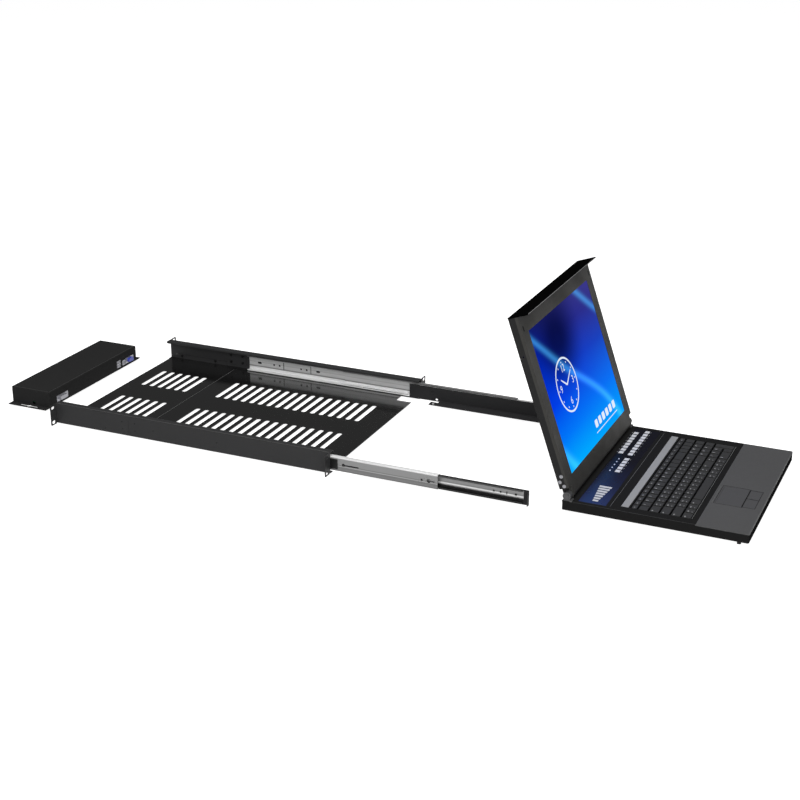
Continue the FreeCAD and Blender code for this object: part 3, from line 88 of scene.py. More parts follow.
def scaled_noise(tree, stretch, detail):
    """Noise in object space, stretched by a scale along each axis."""
    coordinates = tree.nodes.new("ShaderNodeTexCoord")
    mapping = tree.nodes.new("ShaderNodeMapping")
    settings(mapping, {"Scale": stretch})
    noise = tree.nodes.new("ShaderNodeTexNoise")
    settings(noise, {"Scale": 1.0, "Detail": detail})
    tree.links.new(coordinates.outputs["Object"], mapping.inputs["Vector"])
    tree.links.new(mapping.outputs["Vector"], noise.inputs["Vector"])
    return noise.outputs["Fac"]


def varied(tree, source, low, high):
    """A value that runs from low to high with the middle stretch of a noise."""
    spread = tree.nodes.new("ShaderNodeMapRange")
    settings(spread, {"From Min": NOISE_MIDDLE[0], "From Max": NOISE_MIDDLE[1],
                      "To Min": low, "To Max": high})
    tree.links.new(source, spread.inputs["Value"])
    return spread.outputs["Result"]


def finish_shader(name, colour, rough, metal=0.0, grain=0.0, size=GRAIN_SIZE, coat=0.0,
                  stretch=WAVE_SCALE, shine=0.5):
    """A rigid finish: one colour, slightly uneven gloss and a fine grain of a given size."""
    material, tree, shader = shader_tree(name)
    settings(shader, {"Base Color": (*colour, 1.0), "Metallic": metal, "Specular IOR Level": shine,
                      "Coat Weight": coat, "Coat Roughness": COAT_ROUGH})
    wave = scaled_noise(tree, stretch, detail=3.0)
    gloss = varied(tree, wave, rough * (1.0 - UNEVEN), rough * (1.0 + UNEVEN))
    tree.links.new(gloss, shader.inputs["Roughness"])
    if grain:
        bump = tree.nodes.new("ShaderNodeBump")
        settings(bump, {"Strength": grain, "Distance": size * GRAIN_DEPTH})
        fine = scaled_noise(tree, (1.0 / size,) * 3, detail=2.0)
        tree.links.new(fine, bump.inputs["Height"])
        tree.links.new(bump.outputs["Normal"], shader.inputs["Normal"])
    return material


SHADERS = {
    "tray_black": dict(colour=(0.010, 0.010, 0.010), rough=0.15, grain=0.05, size=0.0010, coat=1.0),
    "rail_black": dict(colour=(0.039, 0.039, 0.040), rough=0.40, grain=0.15, shine=0.08),
    "slide_zinc": dict(colour=(0.43, 0.43, 0.44), rough=0.34, metal=0.25, stretch=BRUSHED_SCALE),
    "cage_black": dict(colour=(0.0085, 0.0085, 0.0085), rough=0.35, shine=0.2),
    "fastener_black": dict(colour=(0.0085, 0.0085, 0.0085), rough=0.35, shine=0.2),
    "fastener_steel": dict(colour=(0.28, 0.28, 0.30), rough=0.30, metal=0.5),
    "carrier_black": dict(colour=(0.030, 0.030, 0.031), rough=0.42, grain=0.35, shine=0.03),
    "base_black": dict(colour=(0.016, 0.016, 0.016), rough=0.45, grain=0.35, size=0.0005, shine=0.0),
    "palm_grey": dict(colour=(0.084, 0.084, 0.085), rough=0.50, grain=0.4, size=0.0005, shine=0.2),
    "lid_grey": dict(colour=(0.023, 0.023, 0.023), rough=0.45, grain=0.3, shine=0.05),
    "bezel_grey": dict(colour=(0.047, 0.046, 0.043), rough=0.50, grain=0.4, shine=0.1),
    "front_black": dict(colour=(0.002, 0.002, 0.002), rough=0.50, grain=0.1, shine=0.0),
    "key_black": dict(colour=(0.038, 0.038, 0.040), rough=0.45, grain=0.3, size=0.0004, shine=0.2),
    "key_tray_black": dict(colour=(0.0057, 0.0057, 0.0057), rough=0.60, shine=0.1),
    "strip_grey": dict(colour=(0.31, 0.31, 0.31), rough=0.45, grain=0.3, size=0.0005, shine=0.2),
    "panel_navy": dict(colour=(0.0085, 0.0085, 0.017), rough=0.25, shine=0.2),
    "button_white": dict(colour=(0.71, 0.71, 0.74), rough=0.36, shine=0.3),
    "lamp_lens": dict(colour=(0.65, 0.71, 0.91), rough=0.20),
    "touch_grey": dict(colour=(0.077, 0.077, 0.080), rough=0.48, grain=0.3, size=0.0004, shine=0.2),
    "screen_glass": dict(colour=(0.001, 0.001, 0.002), rough=0.15, shine=0.03),
    "bumper_rubber": dict(colour=(0.0085, 0.0085, 0.0085), rough=0.75, shine=0.1),
    "board_green": dict(colour=(0.014, 0.11, 0.043), rough=0.40),
    "module_black": dict(colour=(0.030, 0.030, 0.030), rough=0.48, grain=0.45, size=0.0008, shine=0.0),
    "socket_metal": dict(colour=(0.34, 0.34, 0.37), rough=0.30, metal=0.5),
    "hinge_grey": dict(colour=(0.078, 0.078, 0.080), rough=0.38, shine=0.3),
    "vga_blue": dict(colour=(0.043, 0.064, 0.43), rough=0.25),
}
MATERIALS = {slot: finish_shader(slot, **facts) for slot, facts in SHADERS.items()}
for entry in frame["record"]["subparts"]:
    mesh = NODES[entry["node"]].data
    mesh.materials.clear()
    mesh.materials.append(MATERIALS[entry["material_slot"]])
for node in ("hinge_brackets", "hinge_pins"):
    NODES[node].data.materials[0] = MATERIALS["hinge_grey"]

# Colours that change along a piece


def measured(tree, direction, start, end):
    """How far a point lies along a direction, as 0 at the start and 1 at the end."""
    coordinates = tree.nodes.new("ShaderNodeTexCoord")
    reach = tree.nodes.new("ShaderNodeVectorMath")
    reach.operation = "DOT_PRODUCT"
    reach.inputs[1].default_value = direction
    tree.links.new(coordinates.outputs["Object"], reach.inputs[0])
    span = tree.nodes.new("ShaderNodeMapRange")
    settings(span, {"From Min": start, "From Max": end})
    tree.links.new(reach.outputs["Value"], span.inputs["Value"])
    return span.outputs["Result"]


def ramp(tree, source, stops):
    """A colour that runs through the stops as the source goes from 0 to 1."""
    blend = tree.nodes.new("ShaderNodeValToRGB")
    tree.links.new(source, blend.inputs["Fac"])
    marks = blend.color_ramp.elements
    while len(marks) < len(stops):
        marks.new(0.5)
    for mark, (place, colour) in zip(marks, stops):
        mark.position = place
        mark.color = (*colour, 1.0)
    return blend.outputs["Color"]


def mixed(tree, way, amount, first, second):
    """Two colours mixed in a given way, by an amount that is a number or a socket."""
    mix = tree.nodes.new("ShaderNodeMix")
    mix.data_type = "RGBA"
    mix.blend_type = way
    if isinstance(amount, float):
        mix.inputs["Factor"].default_value = amount
    else:
        tree.links.new(amount, mix.inputs["Factor"])
    for socket, colour in (("A", first), ("B", second)):
        place = next(item for item in mix.inputs if item.name == socket and item.type == "RGBA")
        if isinstance(colour, tuple):
            place.default_value = (*colour, 1.0)
        else:
            tree.links.new(colour, place)
    return next(item for item in mix.outputs if item.type == "RGBA")


def powered(tree, source, exponent):
    """The source raised to a power, which thins its bright bands."""
    power = tree.nodes.new("ShaderNodeMath")
    power.operation = "POWER"
    power.inputs[1].default_value = exponent
    tree.links.new(source, power.inputs[0])
    return power.outputs["Value"]


def coloured(material, colour):
    """Gives a material a colour that its own nodes work out."""
    material.node_tree.links.new(colour, material.node_tree.nodes["Principled BSDF"].inputs["Base Color"])


def painted_light_by_slope(material, stops):
    """Painted light and shade: a base colour that changes from a piece's upright faces, at 0, to its flat
    tops, at 1.
    """
    tree = material.node_tree
    facing = tree.nodes.new("ShaderNodeTexCoord")
    slope = tree.nodes.new("ShaderNodeSeparateXYZ")
    tree.links.new(facing.outputs["Normal"], slope.inputs["Vector"])
    coloured(material, ramp(tree, slope.outputs["Z"], stops))


# The control panel runs from navy at its near end to black
PANEL_STOPS = [(0.0, (0.024, 0.033, 0.099)), (0.25, (0.013, 0.016, 0.045)), (0.55, (0.0071, 0.0071, 0.013))]
panel_low, panel_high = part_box("control_panel")
panel_tree = MATERIALS["panel_navy"].node_tree
panel_run = measured(panel_tree, (1.0, 0.0, 0.0), panel_low.x, panel_high.x)
coloured(MATERIALS["panel_navy"], ramp(panel_tree, panel_run, PANEL_STOPS))

# Painted shade and light: the keys' sloping sides are painted darker than their tops, and the tray's
# flanges lighter than its gloss floor
painted_light_by_slope(MATERIALS["key_black"], [(0.88, (0.0043, 0.0043, 0.0043)), (0.985, (0.043, 0.043, 0.044))])
painted_light_by_slope(MATERIALS["tray_black"], [(0.3, (0.039, 0.039, 0.040)), (0.9, (0.010, 0.010, 0.010))])

# Painted highlights and shade on the slides: their rolled edges are painted lighter than their webs, and
# the far pair lighter than the near.
# Each stop is a height, from the member's foot to its top, and a grey.
NEAR_PAINTED_BANDS = [(0.0, 0.48), (0.05, 0.085), (0.12, 0.17), (0.33, 0.14), (0.38, 0.37), (0.44, 0.14),
              (0.50, 0.24), (0.90, 0.24), (0.95, 0.85)]
NEAR_INNER_PAINTED_BANDS = [(0.0, 0.0085), (0.27, 0.014), (0.33, 0.28), (0.42, 0.88), (0.50, 0.14),
                    (0.56, 0.24), (0.82, 0.34), (0.90, 0.028)]
FAR_PAINTED_BANDS = [(0.0, 0.98), (0.15, 0.98), (0.20, 0.14), (0.30, 0.71), (0.50, 0.80), (0.55, 0.60),
             (0.62, 0.71), (0.88, 0.74), (0.95, 0.23)]


def zinc_with_painted_light(name, bands, members):
    """Zinc with painted highlights and shade in level bands, put on some members of the slides."""
    zinc = finish_shader(name, **SHADERS["slide_zinc"])
    low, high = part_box("left_slide_middle")
    rise = measured(zinc.node_tree, (0.0, 0.0, 1.0), low.z, high.z)
    coloured(zinc, ramp(zinc.node_tree, rise, [(place, (grey,) * 3) for place, grey in bands]))
    for member in members:
        NODES[member].data.materials[0] = zinc


zinc_with_painted_light("near_zinc_painted_light", NEAR_PAINTED_BANDS, ("left_slide_outer", "left_slide_middle"))
zinc_with_painted_light("near_inner_zinc_painted_light", NEAR_INNER_PAINTED_BANDS, ("left_slide_inner",))
zinc_with_painted_light("far_zinc_painted_light", FAR_PAINTED_BANDS, ("right_slide_outer", "right_slide_middle", "right_slide_inner"))

# The lid's own directions: across, up from the hinge, and out of the screen. The lid is shut at the
# upper limit of its hinge, so that limit is the angle at which it stands open at rest.
lid_hinge = next(joint for joint in frame["record"]["behaviour"]["joints"]
                 if joint["name"] == "lid_hinge")
HINGE = Vector(lid_hinge["pos_m"])
LID_OPEN = math.radians(lid_hinge["range_deg"][1])
LID_UP = Vector((0.0, -math.cos(LID_OPEN), math.sin(LID_OPEN)))
LID_OUT = Vector((0.0, -math.sin(LID_OPEN), -math.cos(LID_OPEN)))
LID = Matrix.Translation(HINGE) @ Matrix(((1, 0, 0), LID_UP, LID_OUT)).transposed().to_4x4()
DECK = Matrix.Identity(4)  # level faces keep the frame's own directions


def lid_box(node):
    """A lid piece's lowest and highest corners across, up and out."""
    inverse = LID.inverted()
    points = [inverse @ vertex.co for vertex in NODES[node].data.vertices]
    return [Vector([edge(point[axis] for point in points) for axis in range(3)])
            for edge in (min, max)]


# Screen

SCREEN_HALF = 0.169  # half the lit picture's width
SCREEN_FOOT = 0.0305  # from the hinge up to the picture
SCREEN_HEIGHT = 0.276
NEAR_WASH = [(0.0, (0.0, 0.42, 1.0)), (0.22, (0.0, 0.18, 0.95)), (0.45, (0.0, 0.045, 0.80)),
             (0.75, (0.0, 0.020, 0.45)), (1.0, (0.004, 0.010, 0.14))]
FAR_WASH = [(0.0, (0.0, 0.36, 1.0)), (0.30, (0.004, 0.16, 0.90)), (0.60, (0.012, 0.055, 0.50)),
            (0.85, (0.030, 0.030, 0.24)), (1.0, (0.045, 0.042, 0.26))]
SHADE_PLACE = (0.34, 0.82, 0.0)  # the middle of the dark patch, in shares of the screen
SHADE_REACH = (0.05, 0.42)
SHADE_DEPTH = 0.85
SHADE_COLOUR = (0.001, 0.002, 0.030)
RAY_COLOUR = (0.03, 0.20, 0.40)
RAY_THINNING = 40.0


def dark_patch(tree, place):
    """How much of the dark patch covers a place on the screen."""
    gap = tree.nodes.new("ShaderNodeVectorMath")
    gap.operation = "DISTANCE"
    gap.inputs[1].default_value = SHADE_PLACE
    tree.links.new(place, gap.inputs[0])
    shade = tree.nodes.new("ShaderNodeMapRange")
    shade.interpolation_type = "SMOOTHSTEP"
    settings(shade, {"From Min": SHADE_REACH[0], "From Max": SHADE_REACH[1],
                     "To Min": SHADE_DEPTH, "To Max": 0.0})
    tree.links.new(gap.outputs["Value"], shade.inputs["Value"])
    return shade.outputs["Result"]


def soft_rays(tree, place):
    """A few thin slanted rays."""
    rays = tree.nodes.new("ShaderNodeTexWave")
    rays.bands_direction = "DIAGONAL"
    settings(rays, {"Scale": 0.75, "Distortion": 2.2, "Detail": 1.0, "Phase Offset": 2.4})
    tree.links.new(place, rays.inputs["Vector"])
    return mixed(tree, "MULTIPLY", 1.0, powered(tree, rays.outputs["Fac"], RAY_THINNING), RAY_COLOUR)


def screen_shader():
    """A lit screen with a plain blue wash, darker towards the top, and soft rays."""
    material, tree, shader = shader_tree("screen_image")
    across = measured(tree, (1.0, 0.0, 0.0), -SCREEN_HALF, SCREEN_HALF)
    foot = HINGE.dot(LID_UP) + SCREEN_FOOT
    rise = measured(tree, LID_UP, foot, foot + SCREEN_HEIGHT)
    place = tree.nodes.new("ShaderNodeCombineXYZ")
    tree.links.new(across, place.inputs["X"])
    tree.links.new(rise, place.inputs["Y"])
    wash = mixed(tree, "MIX", across, ramp(tree, rise, NEAR_WASH), ramp(tree, rise, FAR_WASH))
    shaded = mixed(tree, "MIX", dark_patch(tree, place.outputs["Vector"]), wash, SHADE_COLOUR)
    lit = mixed(tree, "ADD", 1.0, shaded, soft_rays(tree, place.outputs["Vector"]))
    settings(shader, {"Base Color": (0.0, 0.0, 0.0, 1.0), "Roughness": 0.6,
                      "Specular IOR Level": 0.0, "Emission Strength": 1.0})
    tree.links.new(lit, shader.inputs["Emission Color"])
    return material


def glowing(name, colour, strength):
    """An ink that the screen lights from behind."""
    material, _, shader = shader_tree(name)
    settings(shader, {"Base Color": (0.0, 0.0, 0.0, 1.0), "Specular IOR Level": 0.02,
                      "Emission Color": (*colour, 1.0), "Emission Strength": strength})
    return material


NODES["lcd_panel"].data.materials[0] = screen_shader()
SCREEN_WHITE = glowing("screen_white", (0.80, 0.88, 1.0), 0.95)

# Thin marks and lines laid on the pieces: print, painted highlights and painted shade

MARK = 0.00006  # how far a mark stands out
NUMERAL_STEPS = 3
SAME_PLACE = 6  # decimals to which two vertices of one solid agree
# The edge and line greys colour painted highlights. The white and grey inks colour print, and the grey ink
# also the painted highlight on the lid's front panel.
EDGE_HIGHLIGHT_GREY = finish_shader("edge_highlight_grey", (0.07, 0.07, 0.07), 0.5, shine=0.1)
INK_WHITE = finish_shader("ink_white", (0.60, 0.60, 0.61), 0.5, shine=0.2)
INK_AND_HIGHLIGHT_GREY = finish_shader("ink_and_highlight_grey", (0.31, 0.31, 0.31), 0.5, shine=0.2)
LINE_HIGHLIGHT_GREY = finish_shader("line_highlight_grey", (0.14, 0.14, 0.14), 0.45, shine=0.2)


def piece(name, body, material, shapes):
    """A mesh from the shapes, which rides on a body."""
    mesh = bpy.data.meshes.new(name)
    shapes.to_mesh(mesh)
    shapes.free()
    mesh.materials.append(material)
    item = bpy.data.objects.new(name, mesh)
    bpy.context.scene.collection.objects.link(item)
    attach(item, body)


def plates(name, body, material, place, outlines, base):
    """Thin flat shapes, each an outline in a piece's own two directions, laid on its face."""
    shapes = bmesh.new()
    lift = place.to_3x3() @ Vector((0.0, 0.0, MARK))
    for outline in outlines:
        corners = [shapes.verts.new(place @ Vector((u, v, base))) for u, v in outline]
        face = shapes.faces.new(corners)
        grown = bmesh.ops.extrude_face_region(shapes, geom=[face])["geom"]
        bmesh.ops.translate(shapes, vec=lift, verts=[item for item in grown
                                                     if isinstance(item, bmesh.types.BMVert)])
    bmesh.ops.recalc_face_normals(shapes, faces=shapes.faces)
    piece(name, body, material, shapes)


def bar(u, v, length, width):
    """A rectangle about its middle."""
    return [(u - length / 2, v - width / 2), (u + length / 2, v - width / 2),
            (u + length / 2, v + width / 2), (u - length / 2, v + width / 2)]


def rounded(u, v, length, width, radius, steps=4):
    """A rectangle with rounded corners about its middle."""
    outline = []
    for quarter, (side, end) in enumerate(((1, 1), (-1, 1), (-1, -1), (1, -1))):
        for step in range(steps + 1):
            turn = math.pi / 2 * (quarter + step / steps)
            outline.append((u + side * (length / 2 - radius) + radius * math.cos(turn),
                            v + end * (width / 2 - radius) + radius * math.sin(turn)))
    return outline


def numeral(shapes, text, size, place):
    """Adds a plain number, centred on its place."""
    curve = bpy.data.curves.new("numeral", "FONT")
    curve.body = text
    curve.size = size
    curve.align_x = "CENTER"
    curve.align_y = "CENTER"
    curve.extrude = MARK / 2
    curve.resolution_u = NUMERAL_STEPS
    writer = bpy.data.objects.new("numeral", curve)
    mesh = bpy.data.meshes.new_from_object(writer)
    mesh.transform(place)
    shapes.from_mesh(mesh)
    bpy.data.objects.remove(writer)
    bpy.data.curves.remove(curve)
    bpy.data.meshes.remove(mesh)


def solids(node):
    """The box of each separate solid in a CAD node."""
    mesh = NODES[node].data
    spots = {}
    ids = [spots.setdefault(tuple(round(part, SAME_PLACE) for part in vertex.co), len(spots))
           for vertex in mesh.vertices]
    group = list(range(len(spots)))

    def leader(spot):
        while group[spot] != spot:
            spot = group[spot]
        return spot

    for edge in mesh.edges:
        first, second = (leader(ids[index]) for index in edge.vertices)
        group[max(first, second)] = min(first, second)
    families = {}
    for place, spot in spots.items():
        families.setdefault(leader(spot), []).append(place)
    return [(Vector(map(min, zip(*family))), Vector(map(max, zip(*family))))
            for family in families.values()]


# Screen picture: a plain clock, a row of tiles and a line under them, by places on the lid

CLOCK = (-0.070, 0.170)
CLOCK_RADIUS = 0.044
HOURS = 12
RIM = (1.10, 1.18)  # the rim's two radii, in shares of the clock's radius, as the next three values
DOT_REACH = 0.98
NUMBER_REACH = 0.72
HANDS = ((0.62, 305.0), (0.86, 60.0))  # a share and a bearing in degrees
RIM_STEPS = 48
DOT, DOT_ROUND = 0.0032, 0.0015
HAND_HALF, HAND_TAPER = 0.0019, 0.6
NUMBER_SIZE = 0.020
TILE_COUNT = 6
TILE_START, TILE_PITCH, TILE_HEIGHT = 0.012, 0.022, 0.062
TILE, TILE_ROUND = 0.015, 0.003
UNDERLINE = (0.067, 0.046, 0.132, 0.0016)  # its middle, length and width


def on_clock(reach, turn):
    """The point at a share of the clock's radius and a turn from twelve."""
    return (CLOCK[0] + CLOCK_RADIUS * reach * math.sin(turn),
            CLOCK[1] + CLOCK_RADIUS * reach * math.cos(turn))


def clock_rim():
    """The rim as short plates, side by side."""
    turns = [math.tau * step / RIM_STEPS for step in range(RIM_STEPS + 1)]
    return [[on_clock(RIM[0], start), on_clock(RIM[1], start), on_clock(RIM[1], end), on_clock(RIM[0], end)]
            for start, end in zip(turns, turns[1:])]


def clock_hand(length, bearing):
    """A hand that narrows to its tip."""
    turn = math.radians(bearing)
    root = Vector(CLOCK)
    tip = Vector(on_clock(length, turn))
    side = Vector((math.cos(turn), -math.sin(turn))) * HAND_HALF
    return [tuple(root - side), tuple(tip - side * HAND_TAPER),
            tuple(tip + side * HAND_TAPER), tuple(root + side)]


def screen_picture():
    """Lays the clock, the tiles and the line on the screen."""
    face = lid_box("lcd_panel")[1].z + MARK
    hours = [math.tau * hour / HOURS for hour in range(HOURS)]
    dots = [rounded(*on_clock(DOT_REACH, turn), DOT, DOT, DOT_ROUND) for turn in hours]
    hands = [clock_hand(length, bearing) for length, bearing in HANDS]
    tiles = [rounded(TILE_START + TILE_PITCH * number, TILE_HEIGHT, TILE, TILE, TILE_ROUND)
             for number in range(TILE_COUNT)]
    plates("screen_marks", "lid", SCREEN_WHITE, LID,
           clock_rim() + dots + hands + tiles + [bar(*UNDERLINE)], face)
    dial = bmesh.new()
    for text in ("12", "3", "6", "9"):
        spot = Vector((*on_clock(NUMBER_REACH, hours[int(text) % HOURS]), face + MARK / 2))
        numeral(dial, text, NUMBER_SIZE, LID @ Matrix.Translation(spot))
    piece("screen_dial", "lid", SCREEN_WHITE, dial)


screen_picture()

# Deck: grooves and edges as light lines of painted highlight, gaps as dark lines of painted shade, a level
# mark and short marks beside the buttons

GROOVE = 0.0004  # how far a groove's line lies below the face
GAP = 0.0009
FINE, WIDE = 0.0008, 0.0010  # widths of lines
LINE_INSET = 0.007  # by which a line is shorter than the piece beside it, as all the insets
EDGE_INSET = 0.008
GROOVE_AHEAD = 0.005
KEY_EDGE_BACK = 0.00175
TOUCH_LINES_BACK = (0.004, 0.0005)
PALM_EDGE_BACK = 0.0012
LEVEL_COUNT, LEVEL_PITCH, LEVEL_WIDTH, LEVEL_ROUND = 7, 0.0105, 0.0072, 0.001
LEVEL_LENGTH, LEVEL_GROWTH = 0.010, 0.0022
LEVEL_START, LEVEL_AHEAD = 0.018, 0.002
BUTTON_MARK = (0.005, 0.0011)
BUTTON_BACK = {"rear_port_buttons": 0.0075, "front_port_buttons": -0.0075, "menu_buttons": -0.0075}
deck_low, deck_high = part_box("top_deck")
palm_low, palm_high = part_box("palm_rest")


def deck_highlights():
    """Painted highlights: a light line in the groove in front of the control panel, and the bright edge in
    front of the keys.
    """
    keys_low, keys_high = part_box("keyboard_tray")
    panel_groove = bar(0.0, panel_low.y - GROOVE_AHEAD, panel_high.x - panel_low.x - LINE_INSET, FINE)
    key_edge = bar(0.0, keys_low.y + KEY_EDGE_BACK, keys_high.x - keys_low.x - LINE_INSET, WIDE)
    plates("deck_line", "console", LINE_HIGHLIGHT_GREY, DECK, [panel_groove], deck_high.z - GROOVE)
    plates("key_edge_line", "console", LINE_HIGHLIGHT_GREY, DECK, [key_edge], deck_high.z)


def touchpad_lines():
    """Two painted highlights behind the touchpad, and painted shade in the gaps round the touchpad and its
    buttons.
    """
    pad_low, pad_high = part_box("touchpad")
    lines = [bar((pad_low.x + pad_high.x) / 2, pad_high.y + back, pad_high.x - pad_low.x, FINE)
             for back in TOUCH_LINES_BACK]
    plates("touch_lines", "console", LINE_HIGHLIGHT_GREY, DECK, lines, palm_high.z - GROOVE)
    gaps = []
    for low, high in [(pad_low, pad_high)] + solids("left_touch_button") + solids("right_touch_button"):
        middle = (low + high) / 2
        across, along = high.x - low.x + GAP, high.y - low.y + GAP
        gaps += [bar(middle.x, low.y - GAP / 2, across, GAP), bar(middle.x, high.y + GAP / 2, across, GAP),
                 bar(low.x - GAP / 2, middle.y, GAP, along), bar(high.x + GAP / 2, middle.y, GAP, along)]
    plates("touch_gap_shade", "console", MATERIALS["key_tray_black"], DECK, gaps, palm_high.z)


def palm_edge_highlight():
    """A painted highlight: the line of light along the palm rest's front edge."""
    edge = bar(0.0, palm_low.y + PALM_EDGE_BACK, palm_high.x - palm_low.x - EDGE_INSET, FINE)
    plates("palm_edge_line", "console", LINE_HIGHLIGHT_GREY, DECK, [edge], palm_high.z)


def panel_marks():
    """A row of growing level bars in place of lettering, and a short mark beside each button."""
    left = panel_low.x + LEVEL_START
    middle = (panel_low.y + panel_high.y) / 2 - LEVEL_AHEAD
    levels = [rounded(left + LEVEL_PITCH * step, middle, LEVEL_WIDTH, LEVEL_LENGTH + LEVEL_GROWTH * step,
                      LEVEL_ROUND) for step in range(LEVEL_COUNT)]
    plates("level_mark", "console", INK_WHITE, DECK, levels, panel_high.z)
    marks = []
    for node, back in BUTTON_BACK.items():
        for low, high in solids(node):
            marks.append(bar((low.x + high.x) / 2, (low.y + high.y) / 2 + back, *BUTTON_MARK))
    plates("button_marks", "console", INK_AND_HIGHLIGHT_GREY, DECK, marks, panel_high.z)


deck_highlights()
touchpad_lines()
palm_edge_highlight()
panel_marks()

# Painted highlights: bright lines along bent edges and seams

EDGE_LINE = 0.0009
SEAM_AHEAD, SEAM_INSET = 0.0012, 0.0384
COVER_EDGE, COVER_INSET = 0.0022, 0.0088
BASE_EDGE, BASE_INSET = 0.0014, 0.012
RAIL_LIP, RAIL_INSET = 0.2186, 0.006
FRONT_INSET = 0.0052


def tray_seam_highlight():
    """A painted highlight: a light line where the rear tray meets the front one."""
    low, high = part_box("front_tray")
    seam = bar(0.0, high.y - SEAM_AHEAD, high.x - low.x - SEAM_INSET, EDGE_LINE)
    plates("tray_seam_line", "chassis", LINE_HIGHLIGHT_GREY, DECK, [seam], high.z)


def module_edge_highlights():
    """Painted highlights: light lines along two top edges of the module's cover."""
    low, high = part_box("module_cover")
    middle = (low + high) / 2
    edges = [bar(low.x + COVER_EDGE, middle.y, EDGE_LINE, high.y - low.y - EDGE_INSET),
             bar(middle.x, low.y + COVER_EDGE, high.x - low.x - COVER_INSET, EDGE_LINE)]
    plates("module_edge_lines", "rear_module", EDGE_HIGHLIGHT_GREY, DECK, edges, high.z)


def base_edge_highlight():
    """A painted highlight along the near side of the keyboard unit."""
    run = deck_high.y - palm_low.y - BASE_INSET
    edge = bar(deck_low.x + BASE_EDGE, (deck_high.y + palm_low.y) / 2, FINE, run)
    plates("base_edge_line", "console", EDGE_HIGHLIGHT_GREY, DECK, [edge], palm_high.z)


def rail_edge_highlights():
    """Painted highlights along the rails' top lips, from the front rails' ears to the rear ones'."""
    low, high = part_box("left_front_rail")
    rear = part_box("left_rear_rail")[1].y
    edges = [bar(side * RAIL_LIP, (low.y + rear) / 2, EDGE_LINE, rear - low.y - RAIL_INSET)
             for side in (-1, 1)]
    plates("rail_edge_lines", "chassis", LINE_HIGHLIGHT_GREY, DECK, edges, high.z)


def front_panel_highlight():
    """A painted highlight along the lid's front panel."""
    low, high = lid_box("front_panel")
    edge = bar(0.0, (low.y + high.y) / 2, high.x - low.x - FRONT_INSET, WIDE)
    plates("front_panel_line", "lid", INK_AND_HIGHLIGHT_GREY, LID, [edge], high.z)


tray_seam_highlight()
module_edge_highlights()
base_edge_highlight()
rail_edge_highlights()
front_panel_highlight()

# Keys: a short light mark on each, and plain numbers where a key has one

KEY_ROWS = ("function_keys", "upper_letter_keys", "home_row_keys", "lower_letter_keys",
            "bottom_row_keys")
MARK_ASIDE, MARK_AHEAD = 0.0058, 0.0062  # from a key's left and rear edges
KEY_MARK = (0.0044, 0.0021)
LETTER_KEY = 0.022  # keys narrower than this have a second mark
SECOND_ASIDE, SECOND_BACK = 0.0052, 0.0056  # from a key's left and front edges
SECOND_MARK = (0.0026, 0.0011)
KEY_NUMBER_SIZE = 0.0062


def key_marks(row):
    """A mark near each key's rear left corner, and a smaller one in front on a letter key."""
    marks = []
    keys = solids(row)
    for low, high in keys:
        marks.append(bar(low.x + MARK_ASIDE, high.y - MARK_AHEAD, *KEY_MARK))
        if high.x - low.x < LETTER_KEY:
            marks.append(bar(low.x + SECOND_ASIDE, low.y + SECOND_BACK, *SECOND_MARK))
    plates(f"{row}_marks", f"{row}_body", INK_AND_HIGHLIGHT_GREY, DECK, marks,
           max(high.z for low, high in keys))


def numbered(row, texts):
    """Plain numbers on the keys of a row, left to right and back to front."""
    shapes = bmesh.new()
    keys = sorted(solids(row), key=lambda corners: (-round(corners[1].y, 3), corners[0].x))
    for (low, high), text in zip(keys, texts):
        if text:
            spot = Vector((low.x + MARK_ASIDE, high.y - MARK_AHEAD, high.z + MARK / 2))
            numeral(shapes, text, KEY_NUMBER_SIZE, Matrix.Translation(spot))
    piece(f"{row}_numbers", f"{row}_body", INK_WHITE, shapes)


for row in KEY_ROWS:
    key_marks(row)
numbered("number_keys", ["", *"1234567890"])
numbered("number_pad_keys", ["", "", "", "", *"789", "", *"456", "", *"123", "", "0"])

# Light and floor

WORLD_LIGHT = 0.06
FLOOR_GAP = 0.0005
FLOOR_HALF = 12.0
FLOOR_GREY = (0.60, 0.60, 0.60)
FLOOR_ROUGH = 0.9
FLOOR_SEEN = 0.95  # a glow that only the camera and mirrors see, so it lights nothing


def area_light(name, watts, size, place, target):
    """A rectangular lamp that faces its target."""
    light = bpy.data.lights.new(name, "AREA")
    light.energy = watts
    light.shape = "RECTANGLE"
    light.size, light.size_y = size
    lamp = bpy.data.objects.new(name, light)
    bpy.context.scene.collection.objects.link(lamp)
    lamp.location = place
    lamp.rotation_euler = (Vector(target) - Vector(place)).to_track_quat("-Z", "Y").to_euler()


def world_light():
    """A weak white light from all round."""
    world = bpy.data.worlds.new("studio")
    bpy.context.scene.world = world
    world.use_nodes = True
    settings(world.node_tree.nodes["Background"], {"Color": (1.0, 1.0, 1.0, 1.0), "Strength": WORLD_LIGHT})


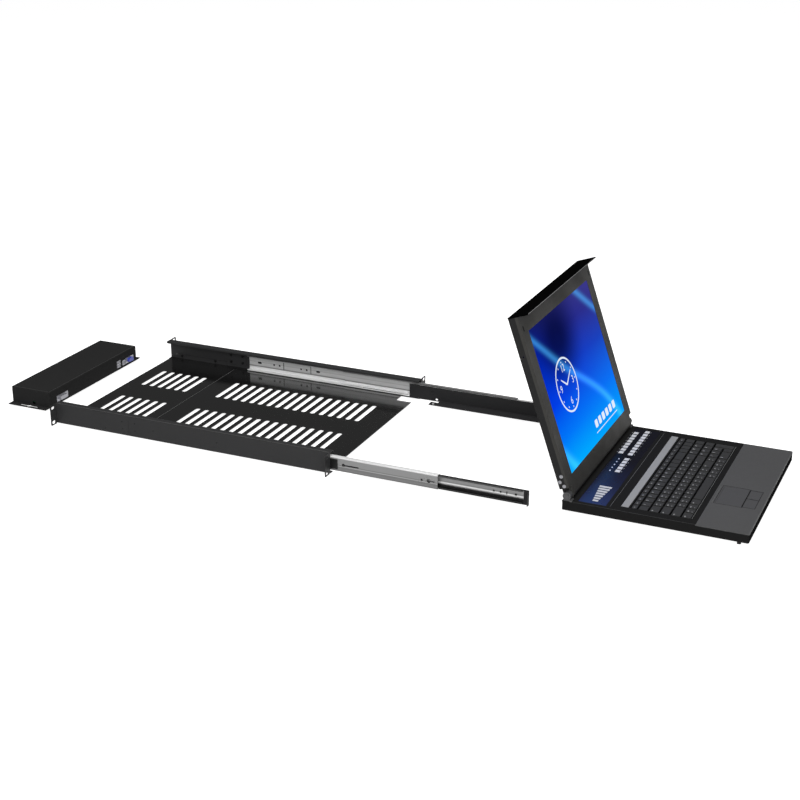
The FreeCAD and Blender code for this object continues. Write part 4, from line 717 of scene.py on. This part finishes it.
def floor_shader():
    """Pale grey that keeps the object's shadow, and looks white to the camera and in mirrors."""
    material = finish_shader("floor_white", FLOOR_GREY, FLOOR_ROUGH, shine=0.0)
    tree = material.node_tree
    shader = tree.nodes["Principled BSDF"]
    settings(shader, {"Emission Color": (1.0, 1.0, 1.0, 1.0)})
    rays = tree.nodes.new("ShaderNodeLightPath")
    seen = tree.nodes.new("ShaderNodeMath")
    seen.operation = "MAXIMUM"
    tree.links.new(rays.outputs["Is Camera Ray"], seen.inputs[0])
    tree.links.new(rays.outputs["Is Glossy Ray"], seen.inputs[1])
    glow = tree.nodes.new("ShaderNodeMath")
    glow.operation = "MULTIPLY"
    glow.inputs[1].default_value = FLOOR_SEEN
    tree.links.new(seen.outputs["Value"], glow.inputs[0])
    tree.links.new(glow.outputs["Value"], shader.inputs["Emission Strength"])
    return material


def pale_floor():
    """A wide plain floor just below the object."""
    mesh = bpy.data.meshes.new("floor")
    height = CAD_BOX[0][2] - FLOOR_GAP
    mesh.from_pydata([(x * FLOOR_HALF, y * FLOOR_HALF, height)
                      for x, y in ((-1, -1), (1, -1), (1, 1), (-1, 1))], [], [(0, 1, 2, 3)])
    mesh.materials.append(floor_shader())
    floor = bpy.data.objects.new("floor", mesh)
    bpy.context.scene.collection.objects.link(floor)


world_light()
area_light("ceiling", watts=60.0, size=(2.4, 2.4), place=(-0.2, -0.3, 2.8), target=(0.0, -0.3, 0.0))
area_light("front_fill", watts=85.0, size=(3.2, 2.4), place=(-3.0, -1.3, 1.7), target=(0.0, -0.4, 0.1))
pale_floor()

# Camera: it looks across and down from beside the keyboard unit, with turns in degrees

CAMERA_PLACE = (-2.587, -1.204, 1.16625)
LENS = 68.36
SENSOR = 36.0
HEADING = 24.085
TILT = 21.357
camera_data = bpy.data.cameras.new("camera")
camera_data.lens = LENS
camera_data.sensor_width = SENSOR
camera = bpy.data.objects.new("camera", camera_data)
bpy.context.scene.collection.objects.link(camera)
camera.location = CAMERA_PLACE
camera.rotation_euler = Euler((math.radians(90.0 - TILT), 0.0, math.radians(HEADING - 90.0)))
bpy.context.scene.camera = camera
bpy.context.scene.view_settings.view_transform = "Standard"
